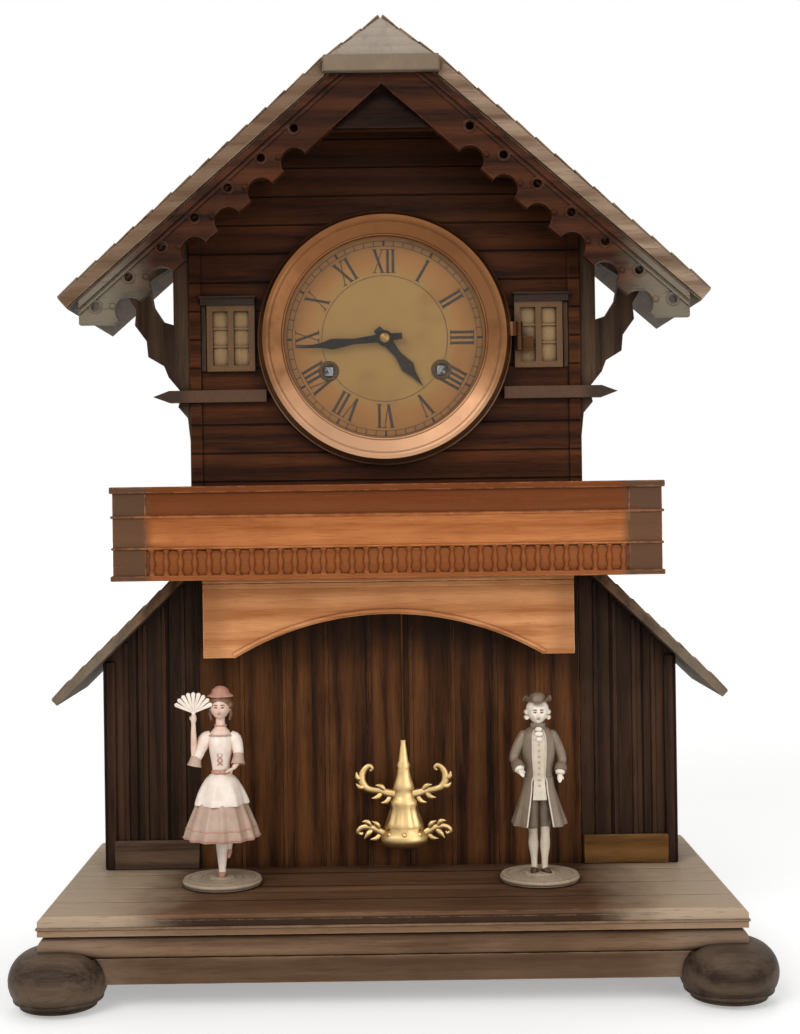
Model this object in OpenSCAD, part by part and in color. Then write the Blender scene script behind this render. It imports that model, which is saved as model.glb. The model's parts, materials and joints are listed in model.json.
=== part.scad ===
// Mantel clock in the form of a timber chalet, with a striking movement that also turns two porcelain
// dancers on the stage in front of the porch. Millimetres, X right, Y back, Z up. The origin is on the
// surface that the clock stands on, under the middle of the base.

/* [Base] */
// Width over the stage board
base_w = 326; // [316:1:340]
// Depth over the stage board
base_d = 166; // [160:1:176]
// Largest diameter of a bun foot
foot_d = 46; // [40:1:50]
// Height of a bun foot at the side of the apron
foot_h = 28; // [26:1:32]
// Distance of a foot's centre inside the edge of the stage board
foot_inset = 8; // [6:1:12]
// Clear height below the apron
foot_lift = 12; // [10:1:16]
// Height of the plain apron band
apron_h = 12; // [10:1:16]
// Distance of the apron inside the bead
apron_inset = 3; // [2:0.5:5]
// Height of the rounded bead under the stage
bead_h = 11; // [11:1:14]
// Thickness of the base rails at the bead
rail_t = 12; // [10:1:13]
// Thickness of the stage board
stage_t = 9; // [8:1:12]
// Thickness of the board that closes the base
cover_t = 5; // [4:1:6]

/* [Lower storey] */
// Height of the lower storey, from the stage to the floor of the case
lower_h = 151; // [146:1:158]
// Width over the side rooms
room_w = 294; // [286:1:300]
// Thickness of the walls of the lower storey
room_wall = 6; // [5:1:8]
// Distance of the case's back inside the back edge of the stage board
back_margin = 8; // [6:1:9]
// Distance of the porch wall's face in front of the case's back
porch_depth = 61; // [59:1:61]
// Thickness of the back boards and of the back door
back_t = 6; // [5:1:7]
// Thickness of a lean-to roof board
lean_t = 4; // [3:0.5:6]
// Slope of a lean-to roof
lean_pitch = 44; // [42:1:46]
// Reach of a lean-to roof past the side room
lean_reach = 24; // [20:1:28]
// Distance from the upper body's side to where the lean-to leaves the floor board
lean_start = 10; // [10:1:14]
// Overhang of a lean-to in front of the side room
lean_front = 19; // [12:1:22]

/* [Balcony and arch] */
// Width over the balcony rails
balcony_w = 268; // [262:1:276]
// Reach of the balcony in front of the front board
balcony_reach = 24; // [22:1:27]
// Height of the balcony rails
balcony_h = 46; // [42:1:50]
// Thickness of a balcony rail
balcony_t = 7; // [6:1:9]
// Width of a corner post of the balcony
post_w = 16; // [14:1:18]
// Thickness of the floor of the case
floor_t = 6; // [5:1:8]
// Width of the arch board
arch_w = 186; // [178:1:192]
// Height of the arch board
arch_h = 40; // [36:1:44]
// Thickness of the arch board
arch_t = 7; // [6:1:7]
// Reach of the arch board in front of the front board
arch_reach = 2; // [2:1:4]
// Width of the arch at the bottom of the board
arch_span = 154; // [146:1:160]
// Rise of the arch above the bottom of the board
arch_rise = 21; // [18:1:26]

/* [Upper body] */
// Width of the upper body
body_w = 196; // [190:1:200]
// Depth of the case, from the face of the front board to the back
case_depth = 85; // [84:1:86]
// Thickness of the front board
front_t = 8; // [7:1:8]
// Thickness of the side walls
side_t = 7; // [6:1:9]
// Width of the back door
door_w = 140; // [130:1:150]
// Height of the back door
door_h = 105; // [98:1:110]
// Height of the back door's sill above the floor of the case
door_sill = 39; // [34:1:42]
// Width of a window
window_w = 24; // [21:1:24]
// Height of a window
window_h = 33; // [29:1:36]
// Height of a window's middle above the dial's centre
window_rise = 1; // [0:0.5:2]
// Distance from the middle of the clock to the inner edge of a window
window_x = 65; // [65:0.5:66]
// Width of a window frame's bars
window_bar = 3; // [2.5:0.5:4]
// Depth of a window frame in front of the wall
window_depth = 3; // [2.5:0.5:3]
// Distance of the sill line below the dial's centre
sill_drop = 28; // [27:0.5:30]
// Reach of an eave bracket to the side of the wall
bracket_w = 36; // [32:1:40]
// Distance of a bracket's foot below the dial's centre
bracket_drop = 52; // [46:1:58]
// Length of the back door's turn button, from its pin to its tip
catch_reach = 14; // [12:1:16]

/* [Roof] */
// Height of the ridge above the floor of the case
ridge_h = 267; // [260:1:274]
// Slope of the roof
roof_pitch = 41.2; // [40:0.2:42]
// Thickness of a roof board
roof_t = 7; // [6:0.5:9]
// Distance from the middle of the clock to the tip of the eaves
eave_x = 156; // [150:1:162]
// Reach of the roof in front of the front board
roof_reach = 40; // [36:1:44]
// Reach of the roof behind the case
roof_behind = 5; // [3:1:8]
// Half width of the clipped gable at its lower edge
hip_half = 27; // [24:1:30]
// Distance that the clipped gable leans back up to the ridge
hip_setback = 15; // [12:1:18]
// Thickness of the clipped gable board
hip_t = 6; // [5:0.5:7]
// Depth of a bargeboard below the roof board
barge_d = 20; // [16:1:20]
// Thickness of a bargeboard
barge_t = 6; // [4:0.5:7]
// Diameter of the holes pierced in a bargeboard
barge_hole_d = 4; // [3:0.5:5]
// Height of a bargeboard's end, whose foot is cut level
barge_end_h = 12; // [9:0.5:14]
// Height of the collar board behind the meeting bargeboards
collar_h = 23; // [20:1:26]
// Thickness of the collar board
collar_t = 5; // [4:0.5:6]

/* [Dial and hands] */
// Height of the dial's centre above the floor of the case
dial_rise = 113; // [112:0.5:114]
// Outer diameter of the bezel
bezel_d = 127; // [124:0.5:127]
// Width of the bezel ring
bezel_w = 13.5; // [12:0.5:15]
// Depth of the bezel ring
bezel_depth = 11.2; // [10.4:0.2:11.6]
// Thickness of the bezel's glass
glass_t = 1.5; // [1:0.1:1.6]
// Diameter of the dial plate
dial_d = 120; // [116:0.5:121]
// Thickness of the dial plate
dial_t = 1.2; // [0.8:0.1:1.4]
// Length of the minute hand
minute_len = 44; // [40:0.5:47]
// Length of the hour hand
hour_len = 31; // [27:0.5:35]
// Thickness of a hand
hand_t = 0.8; // [0.5:0.1:0.9]
// Hours shown at rest, as a decimal
time_shown = 4.733; // [0:0.05:12]

/* [Movement] */
// Width of the movement plates
plate_w = 108; // [104:1:112]
// Reach of the movement plates below the dial's centre
plate_below = 60; // [58:1:64]
// Reach of the movement plates above the dial's centre
plate_above = 52; // [50:1:56]
// Radius of a pillar between the plates
pillar_r = 3; // [2.5:0.5:3.5]
// Thickness of a movement plate
plate_t = 1.5; // [1.2:0.1:1.6]
// Space between the movement plates
plate_gap = 28.5; // [28.5:0.5:29.5]
// Distance from the back of the front board to the front plate
plate_front = 10; // [10:0.5:11]
// Distance of a winding arbor from the middle, sideways
barrel_x = 28.2; // [28:0.1:29]
// Distance of a winding arbor below the dial's centre
barrel_drop = 16; // [15.5:0.1:16.5]
// Distance of the strike wheel's arbor below the dial's centre
strike_drop = 32; // [31.5:0.1:32.5]
// Thickness of a train wheel
wheel_t = 1.5; // [1.2:0.1:1.5]
// Diameter of a winding arbor
winding_d = 6; // [5:0.2:6]
// Diameter of a train arbor
arbor_d = 2; // [1.6:0.1:2.2]
// Outer radius of a mainspring's coil
spring_r = 16; // [14:0.5:16]
// Thickness of a mainspring's strip
spring_t = 0.5; // [0.4:0.1:0.7]

/* [Pendulum] */
// Distance of the pendulum to the right of the middle
pendulum_x = 6.5; // [6.4:0.1:7.5]
// Height of the suspension above the dial's centre
suspension_rise = 44.5; // [44:0.5:46]
// Swing of the pendulum to each side, in degrees
swing = 3; // [2:0.5:3]
// Diameter of the pendulum rod
rod_d = 1.2; // [1:0.1:1.3]
// Distance from the suspension to the foot of the bob
pendulum_len = 302; // [296:1:304]
// Height of the bob
bob_h = 55; // [50:1:58]
// Width of the bob over its wings
bob_w = 48; // [42:1:50]
// Thickness of the bob
bob_t = 7; // [5:0.5:8]

/* [Turntables and dancers] */
// Distance of the lady's turntable from the middle
lady_x = 84; // [82:1:86]
// Distance of the gentleman's turntable from the middle
gentleman_x = 73; // [71:1:76]
// Position of the turntables from front to back
dancer_y = -22; // [-24:1:-21]
// Diameter of a turntable disc
disc_d = 38; // [34:1:40]
// Thickness of a turntable disc
disc_t = 3; // [2:0.5:4]
// Diameter of a turntable spindle
spindle_d = 5; // [4:0.2:6]
// Height of the lady
lady_h = 95; // [88:1:98]
// Height of the gentleman
gentleman_h = 90; // [84:1:96]
// Radius of a mitre gear at its open end
mitre_r = 6; // [5.8:0.1:6.2]
// Diameter of the drive shaft
shaft_d = 4; // [3:0.2:5]
// Thickness of the gears in the base
base_gear_t = 5; // [4:0.5:6]

/* [Gong and hammer] */
// Outer radius of the coil gong
gong_r = 28; // [25:0.5:28]
// Height of the gong's centre above the floor of the case
gong_rise = 44; // [42:1:46]
// Distance of the gong's coil in front of the back boards
gong_gap = 9.5; // [9:0.1:10]
// Thickness of the gong's strip
gong_t = 2; // [1.4:0.1:2.2]
// Lift of the hammer, in degrees
hammer_lift = 25; // [15:1:28]

/* [Fits] */
// Radial clearance of a pivot in its hole
pivot_gap = 0.06; // [0.03:0.01:0.09]
// Gap between parts that move past each other
run_gap = 0.5; // [0.4:0.05:0.6]
// Joint line between separate boards of one kind
joint_gap = 0.1; // [0.05:0.05:0.2]

/* [Hidden] */

// Smoothness of exact round shapes, and of a round bore in a flat-sided wheel
$fn = 48;
bore_sides = 12;

// Heights of the storeys
bead_z = foot_lift + apron_h;
stage_under = bead_z + bead_h;
stage_z = stage_under + stage_t;
floor_under = stage_z + lower_h;
floor_z = floor_under + floor_t;
balcony_top = floor_under + balcony_h;
ridge_z = floor_z + ridge_h;
dial_z = floor_z + dial_rise;
suspension_z = dial_z + suspension_rise;

// Faces of the base
foot_x = base_w / 2 - foot_inset;
foot_y = base_d / 2 - foot_inset;
apron_x = base_w / 2 - apron_inset;
apron_y = base_d / 2 - apron_inset;
inner_x = base_w / 2 - rail_t;
inner_y = base_d / 2 - rail_t;

// Faces of the walls
room_x = room_w / 2;
body_x = body_w / 2;
case_back = base_d / 2 - back_margin;
back_inner = case_back - back_t;
front_y = case_back - case_depth;
front_back = front_y + front_t;
porch_y = case_back - porch_depth;
balcony_y = front_y - balcony_reach;
arch_y = front_y - arch_reach;
roof_front = front_y - roof_reach;
roof_back = case_back + roof_behind;
gong_y = back_inner - gong_gap;
lean_x = body_x + lean_start;
lean_tip = room_x + lean_reach;
lean_rise = tan(lean_pitch);
door_z = floor_z + door_sill;
door_x = door_w / 2;
door_gap = 0.5;

// Lines of the roof: tops and undersides above a distance x from the middle
roof_rise = tan(roof_pitch);
function roof_top(x) = ridge_z - abs(x) * roof_rise;
function roof_under(x) = roof_top(x) - roof_t / cos(roof_pitch);
function lean_top(x) = floor_under - (abs(x) - lean_x) * lean_rise;
function lean_under(x) = lean_top(x) - lean_t / cos(lean_pitch);
hip_edge_drop = 7;
hip_z = roof_top(hip_half);
hip_low = hip_z - hip_edge_drop;
hip_angle = atan((ridge_z - hip_z) / hip_setback);

// Places along the depth of the movement
plate_y = front_back + plate_front;
back_plate_y = plate_y + plate_t + plate_gap;
train_y = plate_y + plate_t;
great_wheel_t = 2;
time_great_y = train_y + 1.5;
ratchet_y = time_great_y + great_wheel_t + 0.4;
centre_wheel_y = train_y + 6;
strike_great_y = train_y + 9.5;
third_wheel_y = train_y + 13;
strike_wheel_y = train_y + 13;
slow_pinion_t = 3.5;
spring_y = train_y + 16;
spring_width = 10;
escape_wheel_y = train_y + 19.5;
strike_pinion_wheel_y = train_y + 18;
fly_y = train_y + 22;
hour_wheel_y = plate_y - 4.2;
motion_wheel_y = plate_y - 2;
motion_t = 1.2;
pendulum_y = front_back + 3.5;
mitre_gap = 1.7;
shaft_y = back_plate_y + plate_t + mitre_gap + mitre_r;

// Teeth and modules of the trains. Each module follows from the distance between its arbors, or sets it.
great_teeth = 60;
great_pinion = 12;
great_module = 2 * norm([barrel_x, barrel_drop]) / (great_teeth + great_pinion);
strike_great_module = 2 * norm([barrel_x, strike_drop - barrel_drop]) / (great_teeth + great_pinion);
centre_teeth = 72;
third_pinion = 9;
centre_module = 0.6;
third_teeth = 84;
escape_pinion = 7;
third_module = 0.5;
strike_teeth = 56;
strike_pinion = 8;
strike_module = 0.55;
fly_teeth = 48;
fly_pinion = 8;
fly_module = 0.5;
cannon_teeth = 12;
minute_teeth = 36;
minute_pinion = 10;
hour_teeth = 40;
motion_distance = 12;
cannon_module = 2 * motion_distance / (cannon_teeth + minute_teeth);
hour_module = 2 * motion_distance / (minute_pinion + hour_teeth);

// Shares of the tooth pitch, and of the module, that shape a wheel's tooth and a pinion's leaf
WHEEL_TOOTH = [0.8, 1.2, 0.50, 0.38, 0.14];
PINION_LEAF = [0.7, 1.2, 0.34, 0.34, 0.16];

// Arbors in the plane of the plates, as x and z
centre_at = [0, dial_z];
time_barrel_at = [barrel_x, dial_z - barrel_drop];
strike_barrel_at = [-barrel_x, dial_z - barrel_drop];
strike_at = [0, dial_z - strike_drop];
third_direction = 32.5;
third_distance = centre_module * (centre_teeth + third_pinion) / 2;
third_at = centre_at + third_distance * [cos(third_direction), sin(third_direction)];
escape_distance = third_module * (third_teeth + escape_pinion) / 2;
escape_side = pendulum_x - third_at[0];
escape_at = third_at + [escape_side, sqrt(pow(escape_distance, 2) - pow(escape_side, 2))];
anchor_at = [pendulum_x, suspension_z];
minute_direction = 200;
minute_at = centre_at + motion_distance * [cos(minute_direction), sin(minute_direction)];
strike_pinion_direction = 215;
strike_pinion_distance = strike_module * (strike_teeth + strike_pinion) / 2;
strike_pinion_at = strike_at + strike_pinion_distance
    * [cos(strike_pinion_direction), sin(strike_pinion_direction)];
fly_direction = 200;
fly_distance = fly_module * (fly_teeth + fly_pinion) / 2;
fly_at = strike_pinion_at + fly_distance * [cos(fly_direction), sin(fly_direction)];
hammer_at = [44, dial_z - 42];

// Gears in the base, as x and y. The module makes a straight row of gears span from the shaft to the farther
// turntable. The idler of the nearer one stands to the side of its line.
drive_teeth = 26;
idler_teeth = 35;
table_teeth = 42;
shaft_at = [0, shaft_y];
function table_at(side) = [side < 0 ? -lady_x : gentleman_x, dancer_y];
table_distance = max(norm(table_at(-1) - shaft_at), norm(table_at(1) - shaft_at));
base_module = table_distance / (drive_teeth / 2 + idler_teeth + table_teeth / 2);
idler_distance = base_module * (drive_teeth + idler_teeth) / 2;
idler_reach = base_module * (idler_teeth + table_teeth) / 2;
base_gear_z = stage_under - base_gear_t - 4;
mitre_teeth = 12;
mitre_depth = 2.6;

// Angle of a gear of teeth_b that meshes with a gear of teeth_a standing at angle_a, seen along direction
function mesh_angle(angle_a, teeth_a, teeth_b, direction) =
    direction + 180 + 180 / teeth_b - (angle_a - direction) * teeth_a / teeth_b;
function direction_of(from, to) = atan2(to[1] - from[1], to[0] - from[0]);

third_turn = mesh_angle(0, centre_teeth, third_pinion, third_direction);
escape_turn = mesh_angle(0, third_teeth, escape_pinion, direction_of(third_at, escape_at));
centre_pinion_turn = mesh_angle(0, great_teeth, great_pinion, direction_of(time_barrel_at, centre_at));
strike_pinion_turn = mesh_angle(0, great_teeth, great_pinion, direction_of(strike_barrel_at, strike_at));
minute_wheel_turn = mesh_angle(0, cannon_teeth, minute_teeth, minute_direction);
hour_wheel_turn = mesh_angle(0, minute_pinion, hour_teeth, minute_direction + 180);
strike_leaf_turn = mesh_angle(0, strike_teeth, strike_pinion, strike_pinion_direction);
fly_leaf_turn = mesh_angle(0, fly_teeth, fly_pinion, fly_direction);
mitre_half_pitch = 180 / mitre_teeth;

// Dial and bezel faces, from front to back
dial_front = front_y - dial_t;
bezel_back = dial_front - 0.2;
bezel_front = bezel_back - bezel_depth;
bezel_inner = bezel_d / 2 - bezel_w;
lip_t = 3.4;
lip_edge = 0.8;
glass_r = bezel_inner + 1.8;
hour_hand_y = dial_front - 1.4 - hand_t;
minute_hand_y = hour_hand_y - 1.2 - hand_t;
arbor_front = minute_hand_y - 0.8;
window_z = dial_z + window_rise - window_h / 2;
hour_angle = -30 * time_shown;
minute_angle = -360 * (time_shown - floor(time_shown));
hinge_x = bezel_d / 2 + 3.5;
hinge_y = bezel_back - 4.6;

// Shafts and bores that carry the hands
centre_r = arbor_d / 2;
cannon_r = 1.7;
pipe_inner = cannon_r + pivot_gap;
pipe_outer = pipe_inner + 0.7;
front_hole_r = 6;
winding_hole_r = 4.5;

// Small sizes used by several parts
pillar_x = plate_w / 2 - 2 * pillar_r;
plate_low = dial_z - plate_below;
plate_high = dial_z + plate_above;
pillar_low = plate_low + 2 * pillar_r;
pillar_high = plate_high - 2 * pillar_r;
winding_r = winding_d / 2;
winding_square = winding_d * 0.7;
wall_screw_r = 1.5;
barrel_knuckle_r = 2;
pin_r = 1;
disc_z = stage_z + run_gap;
figure_z = disc_z + disc_t;

// Orientation helpers: outlines drawn in X and Z and given a depth from y0 to y1
module slab(y0, y1) {
    translate([0, y1, 0])
        rotate([90, 0, 0])
            linear_extrude(y1 - y0)
                children();
}

// Outline drawn in Y and Z, given a width from x0 to x1
module rib(x0, x1) {
    translate([x0, 0, 0])
        rotate([90, 0, 90])
            linear_extrude(x1 - x0)
                children();
}

// Box between two corners
module block(low, high) {
    translate(low)
        cube(high - low);
}

// Round bar along Y through a point given as x and z
module bar_y(at, y0, y1, r) {
    translate([at[0], y0, at[1]])
        rotate([-90, 0, 0])
            cylinder(h = y1 - y0, r = r);
}

// Repeats its children on the right and mirrored on the left
module both_sides() {
    children();
    mirror([1, 0, 0])
        children();
}

// Outline of a toothed wheel. shape holds addendum, dedendum and three tooth widths.
function tooth_ring(teeth, size, shape) = [
    for (k = [0:teeth - 1], step = [0:5])
        let (side = step < 3 ? -1 : 1,
            level = step < 3 ? step : 5 - step,
            radius = size * (teeth / 2 + [-shape[1], 0, shape[0]][level]),
            angle = (k + side * shape[2 + level] / 2) * 360 / teeth)
        radius * [cos(angle), sin(angle)]];

// Flat-sided round opening that a round shaft of radius r turns in
module bore_outline(r) {
    circle(r = (r + 0.03) / cos(180 / bore_sides), $fn = bore_sides);
}

// Outline of a wheel with straight-sided windows between its spokes
module wheel_outline(teeth, size, shape, spokes, hub, bore) {
    root = size * (teeth / 2 - shape[1]);
    rim = root - max(1, root * 0.1);
    difference() {
        polygon(tooth_ring(teeth, size, shape));
        bore_outline(bore);
        if (spokes > 0)
            for (k = [0:spokes - 1])
                rotate(k * 360 / spokes)
                    spoke_window(hub, rim, 180 / spokes);
    }
}

// Window between two spokes, from the hub to the rim
module spoke_window(hub, rim, half) {
    inner_half = half - asin(1.2 / hub);
    outer_half = half - asin(1.2 / rim);
    polygon([hub * [cos(inner_half), -sin(inner_half)],
        rim * [cos(outer_half), -sin(outer_half)],
        [rim, 0],
        rim * [cos(outer_half), sin(outer_half)],
        hub * [cos(inner_half), sin(inner_half)]]);
}

// Toothed wheel of the movement, between y0 and y1
module train_wheel(at, turn, y0, y1, teeth, size, spokes = 5, hub = 4, bore = 1) {
    translate([at[0], 0, at[1]])
        slab(y0, y1)
            rotate(turn)
                wheel_outline(teeth, size, WHEEL_TOOTH, spokes, hub, bore);
}

// Solid pinion of the movement, between y0 and y1
module train_pinion(at, turn, y0, y1, leaves, size, bore = 1) {
    translate([at[0], 0, at[1]])
        slab(y0, y1)
            rotate(turn)
                difference() {
                    polygon(tooth_ring(leaves, size, PINION_LEAF));
                    bore_outline(bore);
                }
}

// Arbor between the plates with its two pivots in the plates
module train_arbor(at, r = arbor_d / 2) {
    bar_y(at, plate_y, back_plate_y + plate_t, r);
}

// Tapered gear whose teeth point at the apex above it
module mitre_gear(turn, bore) {
    difference() {
        rotate(turn)
            linear_extrude(mitre_depth, scale = 1 - mitre_depth / mitre_r)
                polygon(tooth_ring(mitre_teeth, 2 * mitre_r / mitre_teeth, [0.55, 0.9, 0.46, 0.34, 0.16]));
        translate([0, 0, -1])
            linear_extrude(mitre_depth + 2)
                bore_outline(bore);
    }
}

// Spiral strip from radius r0 to radius r1, drawn as one outline
function spiral_point(r0, r1, turns, t) =
    (r0 + (r1 - r0) * t) * [cos(360 * turns * t), sin(360 * turns * t)];
module spiral_strip(r0, r1, turns, t) {
    steps = round(turns * 20);
    polygon(concat(
        [for (i = [0:steps]) spiral_point(r0, r1, turns, i / steps)],
        [for (i = [0:steps]) spiral_point(r0 + t, r1 + t, turns, 1 - i / steps)]));
}

// Base

// Bun feet, each cut out around the corner of the apron
module bun_feet() {
    color("#3b2a20")
        for (x = [-1, 1], y = [-1, 1])
            difference() {
                translate([x * foot_x, y * foot_y, 0])
                    bun();
                block([-apron_x, -apron_y, foot_lift], [apron_x, apron_y, foot_h + 1]);
                block([-base_w / 2, -base_d / 2, bead_z], [base_w / 2, base_d / 2, foot_h + 1]);
            }
}

module bun() {
    edge_r = foot_h / 2;
    rotate_extrude() {
        square([foot_d / 2 - edge_r, foot_h]);
        intersection() {
            translate([foot_d / 2 - edge_r, edge_r])
                circle(r = edge_r);
            translate([foot_d / 2 - edge_r, 0])
                square([edge_r, foot_h]);
        }
    }
}

// Profile of a base rail: outward distance from the inner face, and height
module rail_profile() {
    bead_r = bead_h / 2;
    translate([0, foot_lift])
        square([rail_t - apron_inset, apron_h]);
    translate([0, bead_z])
        square([rail_t - bead_r, bead_h]);
    intersection() {
        translate([rail_t - bead_r, bead_z + bead_r])
            circle(r = bead_r);
        translate([rail_t - bead_r, bead_z])
            square([bead_r, bead_h]);
    }
}

// Straight rail along X with its outer face at -depth / 2, mitred at both ends
module mitred_rail(width, depth) {
    cut = joint_gap / 2;
    intersection() {
        translate([width / 2, rail_t - depth / 2, 0])
            rotate([90, 0, -90])
                linear_extrude(width)
                    rail_profile();
        linear_extrude(stage_under)
            polygon([[-width / 2 + cut, -depth / 2], [width / 2 - cut, -depth / 2],
                [width / 2 - rail_t - cut, rail_t - depth / 2],
                [-width / 2 + rail_t + cut, rail_t - depth / 2]]);
    }
}

module plinth_rails() {
    color("#6c523d")
        for (turn = [0, 180]) {
            rotate(turn)
                mitred_rail(base_w, base_d);
            rotate(turn + 90)
                mitred_rail(base_d, base_w);
        }
}

module stage_board() {
    edge = 2;
    color("#583d2c")
        difference() {
            hull() {
                block([-base_w / 2, -base_d / 2, stage_under], [base_w / 2, base_d / 2, stage_z - edge]);
                block([edge - base_w / 2, edge - base_d / 2, stage_under],
                    [base_w / 2 - edge, base_d / 2 - edge, stage_z]);
            }
            for (side = [-1, 1])
                translate([table_at(side)[0], table_at(side)[1], stage_under - 1])
                    cylinder(h = stage_t + 2, r = spindle_d / 2 + pivot_gap);
            translate([shaft_at[0], shaft_at[1], stage_under - 1])
                cylinder(h = stage_t + 2, r = shaft_d / 2 + pivot_gap);
        }
}

module base_cover() {
    color("#7a6248")
        difference() {
            block([-inner_x, -inner_y, foot_lift], [inner_x, inner_y, foot_lift + cover_t]);
            for (side = [-1, 1])
                pivot_hole(table_at(side), spindle_d / 2);
            pivot_hole(shaft_at, shaft_d / 2);
        }
}

// Blind pivot hole in the base cover
module pivot_hole(at, r) {
    translate([at[0], at[1], foot_lift + 1])
        cylinder(h = cover_t, r = r + pivot_gap);
}

// Lower storey

// Planks across the back of the porch, with a groove at each joint
module porch_wall() {
    planks = 9;
    plank_w = body_w / planks;
    groove = 0.8;
    color("#4a2a14")
        slab(porch_y, porch_y + room_wall)
            translate([-body_x, stage_z])
                square([body_w, lower_h]);
    color("#371b06")
        for (k = [1:planks - 1])
            block([k * plank_w - body_x - groove, porch_y - groove, stage_z],
                [k * plank_w - body_x + groove, porch_y, floor_under]);
}

module side_room_fronts() {
    color("#39251a")
        both_sides()
            slab(porch_y, porch_y + room_wall)
                polygon([[body_x + joint_gap, stage_z], [room_x, stage_z], [room_x, lean_under(room_x)],
                    [lean_shoulder(), floor_under], [body_x + joint_gap, floor_under]]);
}

// Where the underside of the lean-to meets the floor of the case
function lean_shoulder() = lean_x - lean_t / cos(lean_pitch) / lean_rise;

module side_room_walls() {
    inner = room_x - room_wall;
    color("#2f1f18")
        both_sides()
            slab(porch_y + room_wall, back_inner)
                polygon([[inner, stage_z], [room_x, stage_z], [room_x, lean_under(room_x)],
                    [inner, lean_under(inner)]]);
}

module lean_to_roofs() {
    tip = [lean_tip, lean_top(lean_tip)];
    color("#5a4436")
        both_sides()
            slab(porch_y - lean_front, roof_back)
                polygon([[lean_x, floor_under], tip, tip - lean_t * [sin(lean_pitch), cos(lean_pitch)],
                    [lean_shoulder(), floor_under]]);
}

// Front board of the porch, cut to a low arch
module arch_board() {
    radius = (pow(arch_span / 2, 2) + pow(arch_rise, 2)) / (2 * arch_rise);
    bottom = floor_under - arch_h;
    color("#ac714c")
        slab(arch_y, arch_y + arch_t)
            difference() {
                translate([-arch_w / 2, bottom])
                    square([arch_w, arch_h]);
                translate([0, bottom + arch_rise - radius])
                    circle(r = radius, $fn = 96);
            }
}

// Balcony and floor

module case_floor() {
    slot_half = swing * PI / 180 * (suspension_z - floor_under) + rod_d + 2;
    color("#4a2f20")
        difference() {
            block([balcony_t - balcony_w / 2, balcony_y + balcony_t, floor_under],
                [balcony_w / 2 - balcony_t, case_back, floor_z]);
            block([pendulum_x - slot_half, pendulum_y - 2.5, floor_under - 1],
                [pendulum_x + slot_half, pendulum_y + 2.5, floor_z + 1]);
            translate([shaft_at[0], shaft_at[1], floor_under - 1])
                cylinder(h = floor_t + 2, r = shaft_d / 2 + pivot_gap);
        }
}

// Balcony rail profile: outward distance from the inner face, and height
module balcony_profile() {
    band = balcony_h / 3;
    square([balcony_t - 1.2, balcony_h]);
    square([balcony_t - 0.6, band - 1]);
    translate([0, band])
        square([balcony_t, band]);
    translate([0, 2 * band + 1])
        square([balcony_t - 0.4, band - 1]);
}

module balcony_rails() {
    rail_x = balcony_w / 2;
    post_y = balcony_y + post_w;
    color("#ae6d41") {
        translate([rail_x - post_w - joint_gap, balcony_y + balcony_t, floor_under])
            rotate([90, 0, -90])
                linear_extrude(balcony_w - 2 * post_w - 2 * joint_gap)
                    balcony_profile();
        both_sides()
            translate([rail_x - balcony_t, post_y + joint_gap, floor_under])
                rotate([90, 0, 0])
                    mirror([0, 0, 1])
                        linear_extrude(case_back - post_y - joint_gap)
                            balcony_profile();
    }
    color("#554131")
        both_sides()
            difference() {
                block([rail_x - post_w, balcony_y, floor_under], [rail_x, post_y, balcony_top]);
                block([rail_x - post_w - 1, balcony_y + balcony_t, floor_under - 1],
                    [rail_x - balcony_t, post_y + 1, balcony_top + 1]);
            }
}

// Upper body

module front_board() {
    color("#46290f")
        difference() {
            slab(front_y, front_back)
                polygon([[-body_x, floor_z], [body_x, floor_z], [body_x, roof_under(body_x)],
                    [0, roof_under(0)], [-body_x, roof_under(body_x)]]);
            bar_y(centre_at, front_y - 1, front_back + 1, front_hole_r);
            for (at = [time_barrel_at, strike_barrel_at])
                bar_y(at, front_y - 1, front_back + 1, winding_hole_r);
        }
}

module side_walls() {
    inner = body_x - side_t;
    color("#3a2213")
        both_sides()
            slab(front_back, back_inner)
                polygon([[inner, floor_z], [body_x, floor_z], [body_x, roof_under(body_x)],
                    [inner, roof_under(inner)]]);
}

// Back boards: lower board, rail under the door, two stiles, and the gable above the door
module back_panels() {
    opening_x = door_x + door_gap;
    opening_low = door_z - door_gap;
    opening_high = door_z + door_h + door_gap;
    color("#4b3524")
        slab(back_inner, case_back) {
            difference() {
                polygon([[-room_x, stage_z], [room_x, stage_z], [room_x, lean_under(room_x)],
                    [lean_shoulder(), floor_under], [-lean_shoulder(), floor_under],
                    [-room_x, lean_under(room_x)]]);
                for (side = [-1, 1], z = back_screw_heights())
                    translate([side * (room_x - room_wall / 2), z])
                        circle(r = wall_screw_r + pivot_gap);
            }
            translate([-opening_x + joint_gap, floor_z])
                square([2 * (opening_x - joint_gap), opening_low - floor_z]);
            for (side = [0, 1])
                mirror([side, 0])
                    difference() {
                        polygon([[opening_x, floor_z], [body_x, floor_z], [body_x, roof_under(body_x)],
                            [opening_x, roof_under(opening_x)]]);
                        if (side == 1)
                            translate(catch_at())
                                circle(r = pin_r + pivot_gap);
                    }
            polygon([[-opening_x + joint_gap, opening_high], [opening_x - joint_gap, opening_high],
                [opening_x - joint_gap, roof_under(opening_x - joint_gap)], [0, roof_under(0)],
                [-opening_x + joint_gap, roof_under(opening_x - joint_gap)]]);
        }
}

function back_screw_heights() = [for (share = [0.1, 0.33, 0.56]) stage_z + share * lower_h];
function catch_at() = [door_x + 8, door_z + door_h / 2];

// Frame of a window with one upright bar, seen from the front
module window_frames() {
    light_w = (window_w - 3 * window_bar) / 2;
    color("#cdbb96")
        both_sides()
            slab(front_y - window_depth, front_y)
                translate([window_x, window_z])
                    difference() {
                        square([window_w, window_h]);
                        for (k = [0, 1])
                            translate([window_bar + k * (light_w + window_bar), window_bar])
                                square([light_w, window_h - 2 * window_bar]);
                    }
}

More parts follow.
